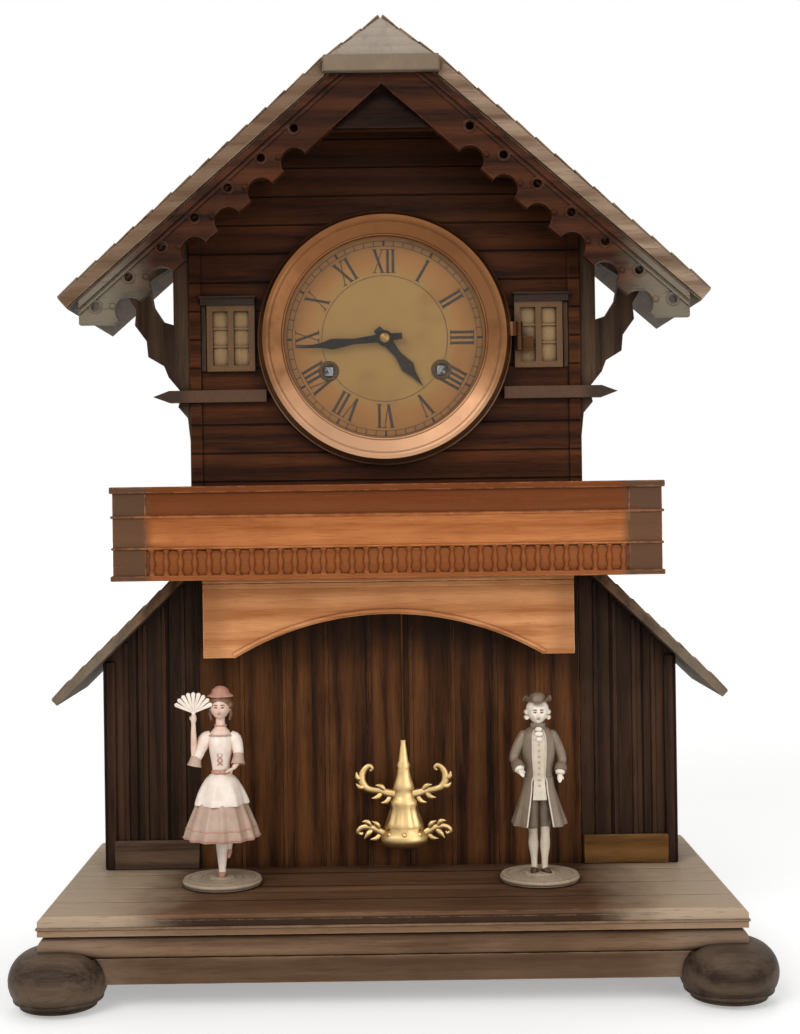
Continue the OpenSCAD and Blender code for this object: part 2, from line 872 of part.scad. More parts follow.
module window_panes() {
    light_w = (window_w - 3 * window_bar) / 2;
    inset = joint_gap;
    color("#8a7350")
        both_sides()
            for (k = [0, 1])
                slab(front_y - 1, front_y)
                    translate([window_x + window_bar + k * (light_w + window_bar) + inset,
                        window_z + window_bar + inset])
                        square([light_w - 2 * inset, window_h - 2 * window_bar - 2 * inset]);
}

// Sill with pointed ends, and a lintel over each window
module string_courses() {
    sill_z = dial_z - sill_drop;
    sill_h = 6;
    sill_out = 18;
    sill_point = 8;
    sill_in = sqrt(pow(bezel_d / 2 + 1, 2) - pow(sill_drop - sill_h / 2, 2));
    lintel_z = window_z + window_h + joint_gap;
    color("#b09a78")
        both_sides()
            slab(front_y - 5, front_y)
                polygon([[sill_in, sill_z - sill_h / 2],
                    [body_x + sill_out - sill_point, sill_z - sill_h / 2],
                    [body_x + sill_out, sill_z],
                    [body_x + sill_out - sill_point, sill_z + sill_h / 2],
                    [sill_in, sill_z + sill_h / 2]]);
    color("#2a170c")
        both_sides()
            slab(front_y - 4, front_y)
                translate([window_x, lintel_z])
                    square([window_w + 3, 4]);
}

// Roof

module roof_panels() {
    color("#5f4029")
        difference() {
            both_sides()
                slab(roof_front, roof_back)
                    polygon([[joint_gap / 2, roof_top(0)], [eave_x, roof_top(eave_x)],
                        [eave_x, roof_top(eave_x)] - roof_t * [sin(roof_pitch), cos(roof_pitch)],
                        [joint_gap / 2, roof_under(0)]]);
            rib(-hip_half - 1, hip_half + 1)
                hip_section(100);
        }
}

// Section of the clipped gable board, or of everything in front of its back face
module hip_section(front) {
    run = 1 / tan(hip_angle);
    low_y = roof_front - (hip_z - hip_low) * run;
    high = ridge_z + 20;
    high_y = roof_front + (high - hip_z) * run;
    inward = hip_t / sin(hip_angle);
    polygon([[low_y - front, hip_low], [low_y + inward, hip_low], [high_y + inward, high],
        [high_y - front, high]]);
}

module roof_hip() {
    color("#a39789")
        intersection() {
            rib(-hip_half - 1, hip_half + 1)
                hip_section(0);
            slab(roof_front - 20, roof_back)
                polygon([[-2 * hip_half, roof_top(2 * hip_half)], [2 * hip_half, roof_top(2 * hip_half)],
                    [0, ridge_z]]);
        }
}

// Bargeboards with a scalloped lower edge and a row of pierced holes, and the collar board behind them
module bargeboards() {
    start = joint_gap / 2;
    stop = eave_x - 10;
    drop = barge_d / cos(roof_pitch);
    scallops = 7;
    scallop_start = 34;
    step = (stop - scallop_start) / scallops;
    collar_high = hip_low - 3;
    collar_low = collar_high - collar_h;
    color("#4e3021")
        both_sides()
            slab(roof_front, roof_front + barge_t)
                difference() {
                    intersection() {
                        polygon([[start, roof_under(start)], [stop, roof_under(stop)],
                            [stop, roof_under(stop) - drop], [start, roof_under(start) - drop]]);
                        translate([0, roof_under(stop) - barge_end_h])
                            square([eave_x, hip_low - roof_under(stop) + barge_end_h - joint_gap]);
                    }
                    for (k = [0:scallops - 1])
                        translate([scallop_start + (k + 0.5) * step,
                            roof_under(scallop_start + (k + 0.5) * step) - drop]) {
                            if (k < scallops - 1)
                                rotate(-roof_pitch)
                                    circle(r = step * 0.42);
                            translate([0, drop * 0.6])
                                circle(d = barge_hole_d);
                        }
                }
    color("#3a2115")
        slab(roof_front + barge_t + joint_gap, roof_front + barge_t + joint_gap + collar_t)
            polygon([[-collar_half(collar_low), collar_low], [collar_half(collar_low), collar_low],
                [collar_half(collar_high), collar_high], [-collar_half(collar_high), collar_high]]);
}

// Half width of the collar board at height z, just inside the undersides of the roof boards
function collar_half(z) = (roof_under(0) - z) / roof_rise - 2 * joint_gap;

// Sawn bracket from the wall up to the eaves, with a gap at its wall side
module eave_brackets() {
    edge = [[0.04, 0.17], [0.17, 0.24], [0.12, 0.33], [0.3, 0.43], [0.36, 0.5], [0.58, 0.56], [0.6, 0.66],
        [0.76, 0.76], [0.74, 0.86], [0.86, 0.95]];
    gap = [[0.22, 0.76], [0.36, 0.78], [0.5, 0.88], [0.56, 1.03], [0.22, 1.13]];
    color("#35231a")
        both_sides()
            slab(front_y, front_back)
                difference() {
                    polygon(concat([bracket_point([0, 0])], [for (share = edge) bracket_point(share)],
                        [bracket_point([1, 1]), [body_x, roof_under(body_x)]]));
                    polygon([for (share = gap) bracket_point(share)]);
                }
}

// Point of a bracket from its shares of the bracket's width and height
function bracket_low() = dial_z - bracket_drop;
function bracket_point(share) = [body_x + share[0] * bracket_w,
    bracket_low() + share[1] * (roof_under(body_x + bracket_w) - bracket_low())];

// Dial and bezel

module dial_plate() {
    color("#b39a63")
        difference() {
            bar_y(centre_at, dial_front, front_y, dial_d / 2);
            bar_y(centre_at, dial_front - 1, front_y + 1, pipe_outer + run_gap);
            for (at = [time_barrel_at, strike_barrel_at])
                bar_y(at, dial_front - 1, front_y + 1, winding_r + run_gap);
        }
}

// Ring whose face slopes in to the glass, with a rebate for it and a hinge lug
module bezel_ring() {
    outer = bezel_d / 2;
    color("#99704f")
        difference() {
            union() {
                translate([0, 0, dial_z])
                    rotate([-90, 0, 0])
                        rotate_extrude($fn = 96)
                            polygon([[glass_r + 0.2, bezel_back], [outer, bezel_back],
                                [outer, bezel_back - 0.3 * bezel_depth],
                                [outer - 0.12 * bezel_w, bezel_front + 0.25 * bezel_depth],
                                [outer - 0.22 * bezel_w, bezel_front],
                                [outer - 0.34 * bezel_w, bezel_front],
                                [bezel_inner, bezel_front + lip_t - lip_edge],
                                [bezel_inner, bezel_front + lip_t],
                                [glass_r + 0.2, bezel_front + lip_t]]);
                translate([hinge_x, hinge_y, dial_z])
                    cylinder(h = hinge_half(), r = hinge_r());
                block([outer - 3, hinge_y - 1, dial_z], [hinge_x, hinge_y + 1, dial_z + hinge_half()]);
            }
            translate([hinge_x, hinge_y, dial_z - 1])
                cylinder(h = hinge_half() + 2, r = hinge_pin_r() + pivot_gap);
        }
}

function hinge_half() = 7;
function hinge_r() = 1.8;
function hinge_pin_r() = 0.8;

module bezel_glass() {
    glass_front = bezel_front + lip_t;
    color([0.8, 0.86, 0.86, 0.4])
        bar_y(centre_at, glass_front, glass_front + glass_t, glass_r);
}

// Hinge halves on the case: one for the bezel and two for the back door
module door_hinges() {
    color("#a8853f") {
        translate([hinge_x, hinge_y, dial_z - hinge_half() - 0.2])
            cylinder(h = hinge_half(), r = hinge_r());
        block([hinge_x, hinge_y + 1, dial_z - hinge_half() - 0.2],
            [hinge_x + 7, front_y - window_depth, dial_z - 0.2]);
        translate([hinge_x, hinge_y, dial_z - hinge_half() - 0.2])
            cylinder(h = 2 * hinge_half(), r = hinge_pin_r());
        for (z = door_hinge_heights()) {
            translate([door_hinge_x(), door_hinge_y(), z - 8.2])
                cylinder(h = 8, r = barrel_knuckle_r);
            translate([door_hinge_x(), door_hinge_y(), z - 8.2])
                cylinder(h = 16, r = pin_r);
            block([door_hinge_x(), case_back, z - 8.2], [door_hinge_x() + 11, case_back + 1.2, z - 0.2]);
        }
    }
}

function door_hinge_heights() = [door_z + 20, door_z + door_h - 20];
function door_hinge_x() = door_x + door_gap + 0.5;
function door_hinge_y() = case_back + barrel_knuckle_r + 0.2;

// Back door with its hinge knuckles
module back_door() {
    color("#553c29")
        block([-door_x, back_inner, door_z], [door_x, case_back, door_z + door_h]);
    color("#a8853f")
        for (z = door_hinge_heights())
            difference() {
                union() {
                    translate([door_hinge_x(), door_hinge_y(), z])
                        cylinder(h = 8, r = barrel_knuckle_r);
                    block([door_x - 12, case_back, z], [door_hinge_x(), case_back + 1.2, z + 8]);
                }
                translate([door_hinge_x(), door_hinge_y(), z - 1])
                    cylinder(h = 10, r = pin_r + pivot_gap);
            }
}

// Turn button on the stile, upright when the door is free
module door_catch() {
    at = [-catch_at()[0], catch_at()[1]];
    catch_r = 3;
    color("#a8853f") {
        bar_y(at, back_inner + 1, case_back + 0.3, pin_r);
        slab(case_back + 0.3, case_back + 2.3)
            hull()
                for (z = [-catch_r, catch_reach])
                    translate([at[0], at[1] + z])
                        circle(r = catch_r, $fn = 32);
    }
}

// Domed screws that hold the lower back board to the side walls
module case_screws() {
    color("#8d7440")
        for (side = [-1, 1], z = back_screw_heights()) {
            at = [side * (room_x - room_wall / 2), z];
            bar_y(at, back_inner, case_back, wall_screw_r);
            bar_y(at, case_back, case_back + 1.4, 2 * wall_screw_r);
        }
}

// Movement frame

module plate_outline() {
    translate([-plate_w / 2, plate_low])
        square([plate_w, plate_high - plate_low]);
}

module arbor_hole(at, r) {
    translate(at)
        circle(r = r + pivot_gap);
}

// Front and back plates with a hole for each arbor
module movement_plates() {
    r = arbor_d / 2;
    color("#b08d4a") {
        slab(plate_y, plate_y + plate_t)
            difference() {
                plate_outline();
                for (at = [centre_at, third_at, escape_at, anchor_at, strike_at, strike_pinion_at, fly_at,
                    hammer_at])
                    arbor_hole(at, r);
                for (at = [time_barrel_at, strike_barrel_at])
                    arbor_hole(at, winding_r);
            }
        slab(back_plate_y, back_plate_y + plate_t)
            difference() {
                plate_outline();
                for (at = [centre_at, third_at, escape_at, anchor_at, strike_at, strike_pinion_at, fly_at,
                    hammer_at])
                    arbor_hole(at, r);
                for (at = [time_barrel_at, strike_barrel_at])
                    arbor_hole(at, winding_r);
            }
    }
}

// Pillars between the plates, spacers to the front board, and the stud of the minute wheel
module plate_pillars() {
    color("#9a7b3e") {
        for (x = [-pillar_x, pillar_x], z = [pillar_low, pillar_high]) {
            bar_y([x, z], train_y, back_plate_y, pillar_r);
            bar_y([x, z], front_back, plate_y, pillar_r);
        }
        bar_y(minute_at, hour_wheel_y - 0.6, plate_y, 0.8);
    }
}

// Mainsprings: a coil round each winding arbor, with its outer end at an upper pillar
module mainsprings() {
    color("#5d6a78")
        both_sides()
            slab(spring_y, spring_y + spring_width) {
                translate(time_barrel_at)
                    spiral_strip(winding_r + 0.4, spring_r - spring_t, 4, spring_t);
                polygon([time_barrel_at + [spring_r - spring_t, -0.01],
                    time_barrel_at + [spring_r, -0.01],
                    [pillar_x - pillar_r - 0.1, pillar_high], [pillar_x - pillar_r - 0.1, pillar_high + 2],
                    [pillar_x - pillar_r - spring_t - 0.1, pillar_high + 2],
                    [pillar_x - pillar_r - spring_t - 0.1, pillar_high]]);
            }
}

// Bracket in front of the plates, with the pin that the pendulum hangs on
module suspension_cock() {
    cheek_y = pendulum_y - 2.5;
    top = suspension_z + 9;
    color("#b08d4a") {
        block([pendulum_x - 3, cheek_y, suspension_z - 3], [pendulum_x + 3, cheek_y + 1.3, top]);
        block([pendulum_x - 3, cheek_y, top - 3], [pendulum_x + 3, plate_y, top]);
        bar_y(anchor_at, cheek_y + 0.5, pendulum_y + 1.2, pin_r);
    }
}

// Trains

// Arbor of the minute hand, with its driven pinion, centre wheel and cannon pinion
module centre_wheel() {
    color("#c19a52") {
        bar_y(centre_at, arbor_front, back_plate_y + plate_t, centre_r);
        train_wheel(centre_at, 0, centre_wheel_y, centre_wheel_y + wheel_t, centre_teeth, centre_module,
            bore = centre_r);
        train_pinion(centre_at, centre_pinion_turn, time_great_y - 0.7, time_great_y + slow_pinion_t - 0.2,
            great_pinion, great_module, centre_r);
        train_pinion(centre_at, 0, motion_wheel_y - 0.2, motion_wheel_y + motion_t + 0.3, cannon_teeth,
            cannon_module, centre_r);
        cannon_pipe();
    }
}

// Pipe of the cannon pinion, in front of its leaves
module cannon_pipe() {
    difference() {
        bar_y(centre_at, minute_hand_y + hand_t, motion_wheel_y - 0.2, cannon_r);
        bar_y(centre_at, minute_hand_y, motion_wheel_y, centre_r + 0.03);
    }
}

// Outline of a hand: a waisted shaft with a pointed end and a short tail
module hand_outline(len, width) {
    right = [[0.35, -0.2], [0.5, 0], [0.32, 0.35], [0.62, 0.6], [0.3, 0.72]];
    polygon(concat([for (p = right) [p[0] * width, p[1] * len]], [[0, len]],
        [for (k = [1:len(right)]) let (p = right[len(right) - k]) [-p[0] * width, p[1] * len]]));
}

// Hand turned to an angle, with its boss round the hole
module hand(len, width, y0, angle, boss, hole) {
    difference() {
        union() {
            translate([0, 0, dial_z])
                slab(y0, y0 + hand_t)
                    rotate(angle)
                        hand_outline(len, width);
            bar_y(centre_at, y0, y0 + hand_t, boss);
        }
        bar_y(centre_at, y0 - 1, y0 + hand_t + 1, hole);
    }
}

module minute_hand() {
    color("#1b1714")
        hand(minute_len, minute_len / 10, minute_hand_y, minute_angle, 3.4, centre_r + 0.03);
}

module hour_hand() {
    color("#1b1714")
        hand(hour_len, hour_len / 5.7, hour_hand_y, hour_angle, 4, pipe_outer + 0.03);
}

// Hour wheel on the pipe that carries the hour hand
module hour_wheel() {
    color("#c19a52") {
        train_wheel(centre_at, hour_wheel_turn, hour_wheel_y, hour_wheel_y + motion_t, hour_teeth,
            hour_module, 0, 4, pipe_outer);
        difference() {
            bar_y(centre_at, hour_hand_y - 0.2, hour_wheel_y + motion_t, pipe_outer);
            bar_y(centre_at, hour_hand_y - 1, hour_wheel_y + motion_t + 1, pipe_inner);
        }
    }
}

module minute_wheel() {
    stud = 0.8 + pivot_gap;
    color("#c19a52") {
        train_wheel(minute_at, minute_wheel_turn, motion_wheel_y, motion_wheel_y + motion_t, minute_teeth,
            cannon_module, 0, 4, stud);
        train_pinion(minute_at, 0, hour_wheel_y - 0.2, motion_wheel_y, minute_pinion, hour_module, stud);
    }
}

// Great wheel that rides on its winding arbor
module great_wheel(at, y0, size) {
    train_wheel(at, 0, y0, y0 + great_wheel_t, great_teeth, size, 4, 9, winding_r + pivot_gap);
}

module time_great_wheel() {
    color("#c7a45c")
        great_wheel(time_barrel_at, time_great_y, great_module);
}

module strike_great_wheel() {
    color("#c7a45c")
        great_wheel(strike_barrel_at, strike_great_y, strike_great_module);
}

// Winding arbor with its square end at the front and its ratchet behind the great wheel
module winding_arbor(at, y_ratchet) {
    teeth = 20;
    outer = 8.4;
    bar_y(at, plate_y, back_plate_y + plate_t, winding_r);
    translate([at[0], 0, at[1]]) {
        slab(front_y + 1, plate_y)
            square(winding_square, center = true);
        slab(y_ratchet, y_ratchet + 1.2)
            difference() {
                polygon([for (k = [0:teeth - 1], tip = [0, 1])
                    (tip == 1 ? outer : outer - 1) * [cos((k + tip * 0.1) * 360 / teeth),
                        sin((k + tip * 0.1) * 360 / teeth)]]);
                bore_outline(winding_r);
            }
    }
}

module time_winding_arbor() {
    color("#8f959b")
        winding_arbor(time_barrel_at, ratchet_y);
}

module strike_winding_arbor() {
    color("#8f959b")
        winding_arbor(strike_barrel_at, strike_great_y + great_wheel_t + 0.4);
}

module third_wheel() {
    color("#c19a52") {
        train_arbor(third_at);
        train_wheel(third_at, 0, third_wheel_y, third_wheel_y + wheel_t, third_teeth, third_module);
        train_pinion(third_at, third_turn, centre_wheel_y - 0.7, centre_wheel_y + wheel_t + 0.7,
            third_pinion, centre_module);
    }
}

// Escape wheel with pointed teeth that lean forward
module escape_wheel() {
    teeth = 36;
    color("#c19a52") {
        train_arbor(escape_at);
        translate([escape_at[0], 0, escape_at[1]])
            slab(escape_wheel_y, escape_wheel_y + wheel_t)
                difference() {
                    polygon([for (k = [0:teeth - 1], tip = [0, 1])
                        (tip == 1 ? escape_r() : escape_r() - 1.2) * [cos((k + tip * 0.35) * 360 / teeth),
                            sin((k + tip * 0.35) * 360 / teeth)]]);
                    bore_outline(arbor_d / 2);
                    for (k = [0:3])
                        rotate(k * 90)
                            spoke_window(3, escape_r() - 2.4, 45);
                }
        train_pinion(escape_at, escape_turn, third_wheel_y - 0.7, third_wheel_y + wheel_t + 0.7,
            escape_pinion, third_module);
    }
}

function escape_r() = 9;

// Anchor over the escape wheel, its arbor, and the crutch that embraces the pendulum rod
module anchor() {
    reach = escape_r() + 0.9;
    drop = anchor_at[1] - escape_at[1];
    left = [-sin(42), cos(42)];
    crutch_len = 24;
    crutch_y = pendulum_y + 1.5;
    prong_x = rod_d / 2 + 0.4;
    color("#6f7378") {
        bar_y(anchor_at, crutch_y, back_plate_y + plate_t, arbor_d / 2);
        translate([anchor_at[0], 0, anchor_at[1]])
            slab(escape_wheel_y - 0.4, escape_wheel_y + wheel_t + 0.4)
                difference() {
                    union() {
                        circle(r = 2.6, $fn = 12);
                        for (side = [0, 1])
                            mirror([side, 0])
                                polygon([[0, 2.4], [-8.5, -1.6], left * (reach + 2.4) - [0, drop],
                                    left * reach - [0, drop], [-5.2, -2.6], [0, -1]]);
                    }
                    bore_outline(arbor_d / 2);
                }
        translate([anchor_at[0], 0, anchor_at[1]])
            slab(crutch_y, crutch_y + 0.8)
                difference() {
                    union() {
                        circle(r = 2.4, $fn = 12);
                        translate([-prong_x - 0.8, -crutch_len])
                            square([2 * prong_x + 1.6, crutch_len]);
                    }
                    bore_outline(arbor_d / 2);
                }
        for (side = [-1, 1])
            block([pendulum_x + side * (prong_x + 0.4) - 0.4, pendulum_y - 1.4, suspension_z - crutch_len],
                [pendulum_x + side * (prong_x + 0.4) + 0.4, crutch_y, suspension_z - crutch_len + 3]);
    }
}

// Rod with the eye that hangs on the cock's pin
module pendulum_rod() {
    bob_top = suspension_z - pendulum_len + bob_h;
    color("#b8924c")
        difference() {
            union() {
                translate([pendulum_x, pendulum_y, bob_top])
                    cylinder(h = suspension_z - bob_top - 1.6, r = rod_d / 2);
                bar_y(anchor_at, pendulum_y - 0.9, pendulum_y + 0.9, 2.2);
            }
            bar_y(anchor_at, pendulum_y - 2, pendulum_y + 2, pin_r + pivot_gap);
        }
}

// Cast bob: a bell-shaped body with a spire, two raised arms and two low wings
module bob_outline() {
    half = bob_w / 2;
    right = [[7, 0], [11, 3], [12, 7], [half, 8], [half, 12], [13, 13], [10, 20], [6, 25], [13, 26],
        [half - 4, 27], [half - 2, 33], [half - 3, 43], [half - 7, 43], [half - 8, 33], [13, 32],
        [6, 31], [4, 38], [2.4, 46], [1.2, bob_h]];
    polygon(concat(right, [for (k = [1:len(right)]) let (p = right[len(right) - k]) [-p[0], p[1]]]));
}

module pendulum_bob() {
    color("#c5a678")
        translate([pendulum_x, pendulum_y, suspension_z - pendulum_len])
            slab(-bob_t / 2, bob_t / 2)
                bob_outline();
}

// Strike wheel on the arbor that also turns the drive shaft through the mitre gears
module strike_wheel() {
    color("#c19a52") {
        bar_y(strike_at, plate_y, shaft_y - mitre_r + mitre_depth, arbor_d / 2);
        train_wheel(strike_at, 0, strike_wheel_y, strike_wheel_y + wheel_t, strike_teeth, strike_module);
        train_pinion(strike_at, strike_pinion_turn, strike_great_y - 0.7, strike_great_y + 2.8,
            great_pinion, strike_great_module);
        translate([0, shaft_y - mitre_r, strike_at[1]])
            rotate([-90, 0, 0])
                mitre_gear(90, arbor_d / 2);
    }
}

module strike_pinion_wheel() {
    color("#c19a52") {
        train_arbor(strike_pinion_at);
        train_wheel(strike_pinion_at, 0, strike_pinion_wheel_y, strike_pinion_wheel_y + wheel_t, fly_teeth,
            fly_module);
        train_pinion(strike_pinion_at, strike_leaf_turn, strike_wheel_y - 0.7, strike_wheel_y + 2.2,
            strike_pinion, strike_module);
    }
}

// Air brake of the strike train
module strike_fly() {
    wing_half = 9.5;
    color("#c19a52") {
        train_arbor(fly_at);
        train_pinion(fly_at, fly_leaf_turn, strike_pinion_wheel_y - 0.7, strike_pinion_wheel_y + 2.2,
            fly_pinion, fly_module);
        translate([fly_at[0], 0, fly_at[1]])
            slab(fly_y, fly_y + 5)
                difference() {
                    union() {
                        square([2 * wing_half, 0.6], center = true);
                        circle(r = 2, $fn = 12);
                    }
                    bore_outline(arbor_d / 2);
                }
    }
}

// Hammer lever behind the back plate, with its head beside the gong
module strike_hammer() {
    gong_x = hammer_gong_x();
    gong_z = floor_z + gong_rise;
    head_r = 4;
    strike_direction = -8;
    head = [gong_x, gong_z] + (gong_r + head_r + 1.2) * [cos(strike_direction), sin(strike_direction)];
    color("#6f7378") {
        bar_y(hammer_at, plate_y, gong_y + 1.2, arbor_d / 2);
        hull() {
            bar_y(hammer_at, gong_y - 1.2, gong_y + 1.2, 2);
            bar_y(head, gong_y - 1.2, gong_y + 1.2, 1.4);
        }
        bar_y(head, gong_y - 3.5, gong_y + 3.5, head_r);
    }
}

function hammer_gong_x() = 4;

// Gong

module gong_coil() {
    color("#4f5d70")
        translate([hammer_gong_x(), 0, floor_z + gong_rise])
            slab(gong_y - 1, gong_y + 1)
                spiral_strip(5, gong_r - gong_t, 4, gong_t);
}

// Post behind the coil, with the boss that holds the coil's inner end
module gong_stand() {
    x = hammer_gong_x();
    color("#2b2b2d") {
        block([x - 14, gong_y + 1.8, floor_z], [x + 14, back_inner - 0.5, floor_z + 8]);
        block([x - 5, gong_y + 1.8, floor_z + 8], [x + 5, back_inner - 1.5, floor_z + gong_rise + 5]);
        bar_y([x, floor_z + gong_rise], gong_y - 1, gong_y + 1.8, 4.6);
    }
}

// Drive in the base

// Gear of the base train, round its own bore
module base_gear(at, turn, teeth, bore) {
    translate([at[0], at[1], base_gear_z])
        rotate(turn)
            linear_extrude(base_gear_t)
                wheel_outline(teeth, base_module, WHEEL_TOOTH, 5, bore + 5, bore);
}

function idler_bend(far) =
    acos(min(1, (pow(idler_distance, 2) + pow(far, 2) - pow(idler_reach, 2)) / (2 * idler_distance * far)));
function idler_direction(side) =
    direction_of(shaft_at, table_at(side)) + side * idler_bend(norm(table_at(side) - shaft_at));
function idler_at(side) = shaft_at
    + idler_distance * [cos(idler_direction(side)), sin(idler_direction(side))];
function idler_turn(side) = mesh_angle(90, drive_teeth, idler_teeth, idler_direction(side));
function table_turn(side) =
    mesh_angle(idler_turn(side), idler_teeth, table_teeth, direction_of(idler_at(side), table_at(side)));

// Upright shaft from the base to the mitre gears behind the movement
module drive_shaft() {
    mitre_z = strike_at[1] - mitre_r;
    color("#8f959b") {
        translate([shaft_at[0], shaft_at[1], foot_lift + 1.5])
            cylinder(h = mitre_z + mitre_depth - foot_lift - 1.5, r = shaft_d / 2);
        base_gear(shaft_at, 90, drive_teeth, shaft_d / 2);
        translate([shaft_at[0], shaft_at[1], mitre_z])
            mitre_gear(-90 + mitre_half_pitch, shaft_d / 2);
    }
}

module idler_gear(side) {
    color("#b08d4a")
        base_gear(idler_at(side), idler_turn(side), idler_teeth, spindle_d / 2 + pivot_gap);
}

module left_idler_gear() {
    idler_gear(-1);
}

module right_idler_gear() {
    idler_gear(1);
}

// Fixed studs under the stage that the idler gears turn on, each with its retaining collar
module gear_studs() {
    color("#8f959b")
        for (side = [-1, 1])
            translate([idler_at(side)[0], idler_at(side)[1], base_gear_z - 1.6]) {
                cylinder(h = stage_under - base_gear_z + 1.6, r = spindle_d / 2);
                cylinder(h = 1.2, r = spindle_d / 2 + 1.5);
            }
}

// Disc on the stage, its spindle and its gear in the base
module turntable(side) {
    color("#d8cfc0") {
        translate([table_at(side)[0], table_at(side)[1], foot_lift + 1.5])
            cylinder(h = disc_z - foot_lift - 1.5, r = spindle_d / 2);
        translate([table_at(side)[0], table_at(side)[1], disc_z])
            cylinder(h = disc_t, d = disc_d);
        base_gear(table_at(side), table_turn(side), table_teeth, spindle_d / 2);
    }
}

module left_turntable() {
    turntable(-1);
}

module right_turntable() {
    turntable(1);
}

// Dancers

// Straight limb between two points, with a round end at the far point
module limb(from, to, r) {
    way = to - from;
    len = norm(way);
    translate(from)
        rotate([0, acos(way[2] / len), atan2(way[1], way[0])])
            cylinder(h = len, r = r);
    translate(to)
        sphere(r = r + 0.5);
}

// Lady with a bell skirt, who lifts a fan in one hand and rests the other at her waist
module lady_dancer() {
    s = lady_h / 95;
    color("#fbe5d1")
        translate([-lady_x, dancer_y, figure_z])
            scale(s) {
                cylinder(h = 24, r = 3);
                rotate_extrude()
                    polygon([[0, 20], [16, 19.5], [18.2, 21.5], [17.6, 26], [13.5, 33], [9.5, 41], [6, 48],
                        [4.2, 51.5], [4.6, 55], [6.2, 62], [6.8, 69], [6, 73], [2.8, 75.5], [2.2, 78.5],
                        [0, 80]]);
                translate([0, 0, 84])
                    sphere(r = 6.2);
                translate([0, 2.6, 90])
                    sphere(r = 4.4);
                limb([-5.2, 0, 71], [-12.5, -2, 58.5], 1.9);
                limb([-12.5, -2, 58.5], [-12.9, -4, 84.5], 1.6);
                translate([-12.7, -4, 89.5])
                    sphere(r = 4.8);
                limb([5.2, 0, 71], [9.5, -1, 60], 1.9);
                limb([9.5, -1, 60], [5.5, -5.5, 54], 1.6);
            }
}

// Gentleman in a long coat, one hand held out towards the lady
module gentleman_dancer() {
    s = gentleman_h / 90;
    color("#cfc4b4")
        translate([gentleman_x, dancer_y, figure_z])
            scale(s) {
                for (x = [-2.9, 2.9])
                    translate([x, 0, 0])
                        cylinder(h = 30, r = 2.6);
                translate([0, 0, 2])
                    rotate([90, 0, 0])
                        translate([0, 0, -3])
                            linear_extrude(9)
                                square([12, 4], center = true);
                rotate_extrude()
                    polygon([[0, 24], [13.2, 23.5], [13.6, 26], [12.2, 32], [9.6, 39], [7.6, 44.5],
                        [8, 50], [9.4, 58], [9.8, 64], [8, 69], [3.4, 71.5], [2.6, 74], [0, 76]]);
                translate([0, 0, 79.5])
                    sphere(r = 6.4);
                translate([0, 0, 84.5])
                    cylinder(h = 5.5, r1 = 5.2, r2 = 4);
                limb([-7.4, 0, 66], [-12, -2, 57], 2.3);
                limb([-12, -2, 57], [-9, -9.5, 50.5], 1.9);
                limb([7.4, 0, 66], [11.5, 0, 56], 2.3);
                limb([11.5, 0, 56], [10, -5, 48.5], 1.9);
            }
}

bun_feet();
plinth_rails();
stage_board();
base_cover();
porch_wall();
side_room_fronts();
side_room_walls();
lean_to_roofs();
arch_board();
case_floor();
balcony_rails();
front_board();
side_walls();
back_panels();
window_frames();
window_panes();
string_courses();
roof_panels();
roof_hip();
bargeboards();
eave_brackets();
dial_plate();
movement_plates();
plate_pillars();
mainsprings();
suspension_cock();
gong_coil();
gong_stand();
case_screws();
door_hinges();
gear_studs();
bezel_ring();
bezel_glass();
back_door();
door_catch();
minute_hand();
centre_wheel();
hour_hand();
hour_wheel();
minute_wheel();
time_great_wheel();
time_winding_arbor();
third_wheel();
escape_wheel();
anchor();
pendulum_rod();
pendulum_bob();
strike_great_wheel();
strike_winding_arbor();
strike_wheel();
strike_pinion_wheel();
strike_fly();
strike_hammer();
drive_shaft();
left_idler_gear();
right_idler_gear();
left_turntable();
right_turntable();
lady_dancer();
gentleman_dancer();
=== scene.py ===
"""Looks of a mantel clock in the form of a timber chalet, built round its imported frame.

Each sub-assembly is a class that holds its own sizes, dresses the frame's nodes that show, and adds the
pieces that the frame leaves plain. Sizes inside the classes are millimetres, with X to the right, Y to the
back and Z up. A finished mesh is in metres.
"""

import json
import logging
import math
from contextlib import contextmanager
from dataclasses import dataclass
from enum import Enum
from random import Random
from typing import Callable, ClassVar, Iterator, Optional, Sequence

import bmesh
import bpy
from mathutils import Euler, Matrix, Vector

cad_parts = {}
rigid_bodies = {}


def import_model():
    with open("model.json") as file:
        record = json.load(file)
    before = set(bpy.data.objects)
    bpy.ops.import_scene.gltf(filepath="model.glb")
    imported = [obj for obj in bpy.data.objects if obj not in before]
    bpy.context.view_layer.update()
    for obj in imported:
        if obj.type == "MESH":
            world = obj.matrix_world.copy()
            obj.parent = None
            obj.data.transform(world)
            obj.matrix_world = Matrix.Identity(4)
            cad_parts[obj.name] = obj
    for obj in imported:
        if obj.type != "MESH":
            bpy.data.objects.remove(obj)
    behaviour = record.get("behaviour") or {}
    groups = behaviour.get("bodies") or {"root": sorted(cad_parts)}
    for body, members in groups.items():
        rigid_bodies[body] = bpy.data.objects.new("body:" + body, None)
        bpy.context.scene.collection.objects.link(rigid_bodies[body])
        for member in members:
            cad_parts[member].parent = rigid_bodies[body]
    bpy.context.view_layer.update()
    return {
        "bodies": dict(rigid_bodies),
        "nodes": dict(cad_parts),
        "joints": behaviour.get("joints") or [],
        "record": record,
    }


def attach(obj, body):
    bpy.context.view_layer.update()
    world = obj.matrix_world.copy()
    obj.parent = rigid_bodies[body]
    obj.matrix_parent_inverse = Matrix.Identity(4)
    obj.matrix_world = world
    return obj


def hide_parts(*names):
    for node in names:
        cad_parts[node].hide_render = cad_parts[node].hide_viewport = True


LOG = logging.getLogger("chalet_clock")
METRE = 0.001
FULL_TURN = 2 * math.pi
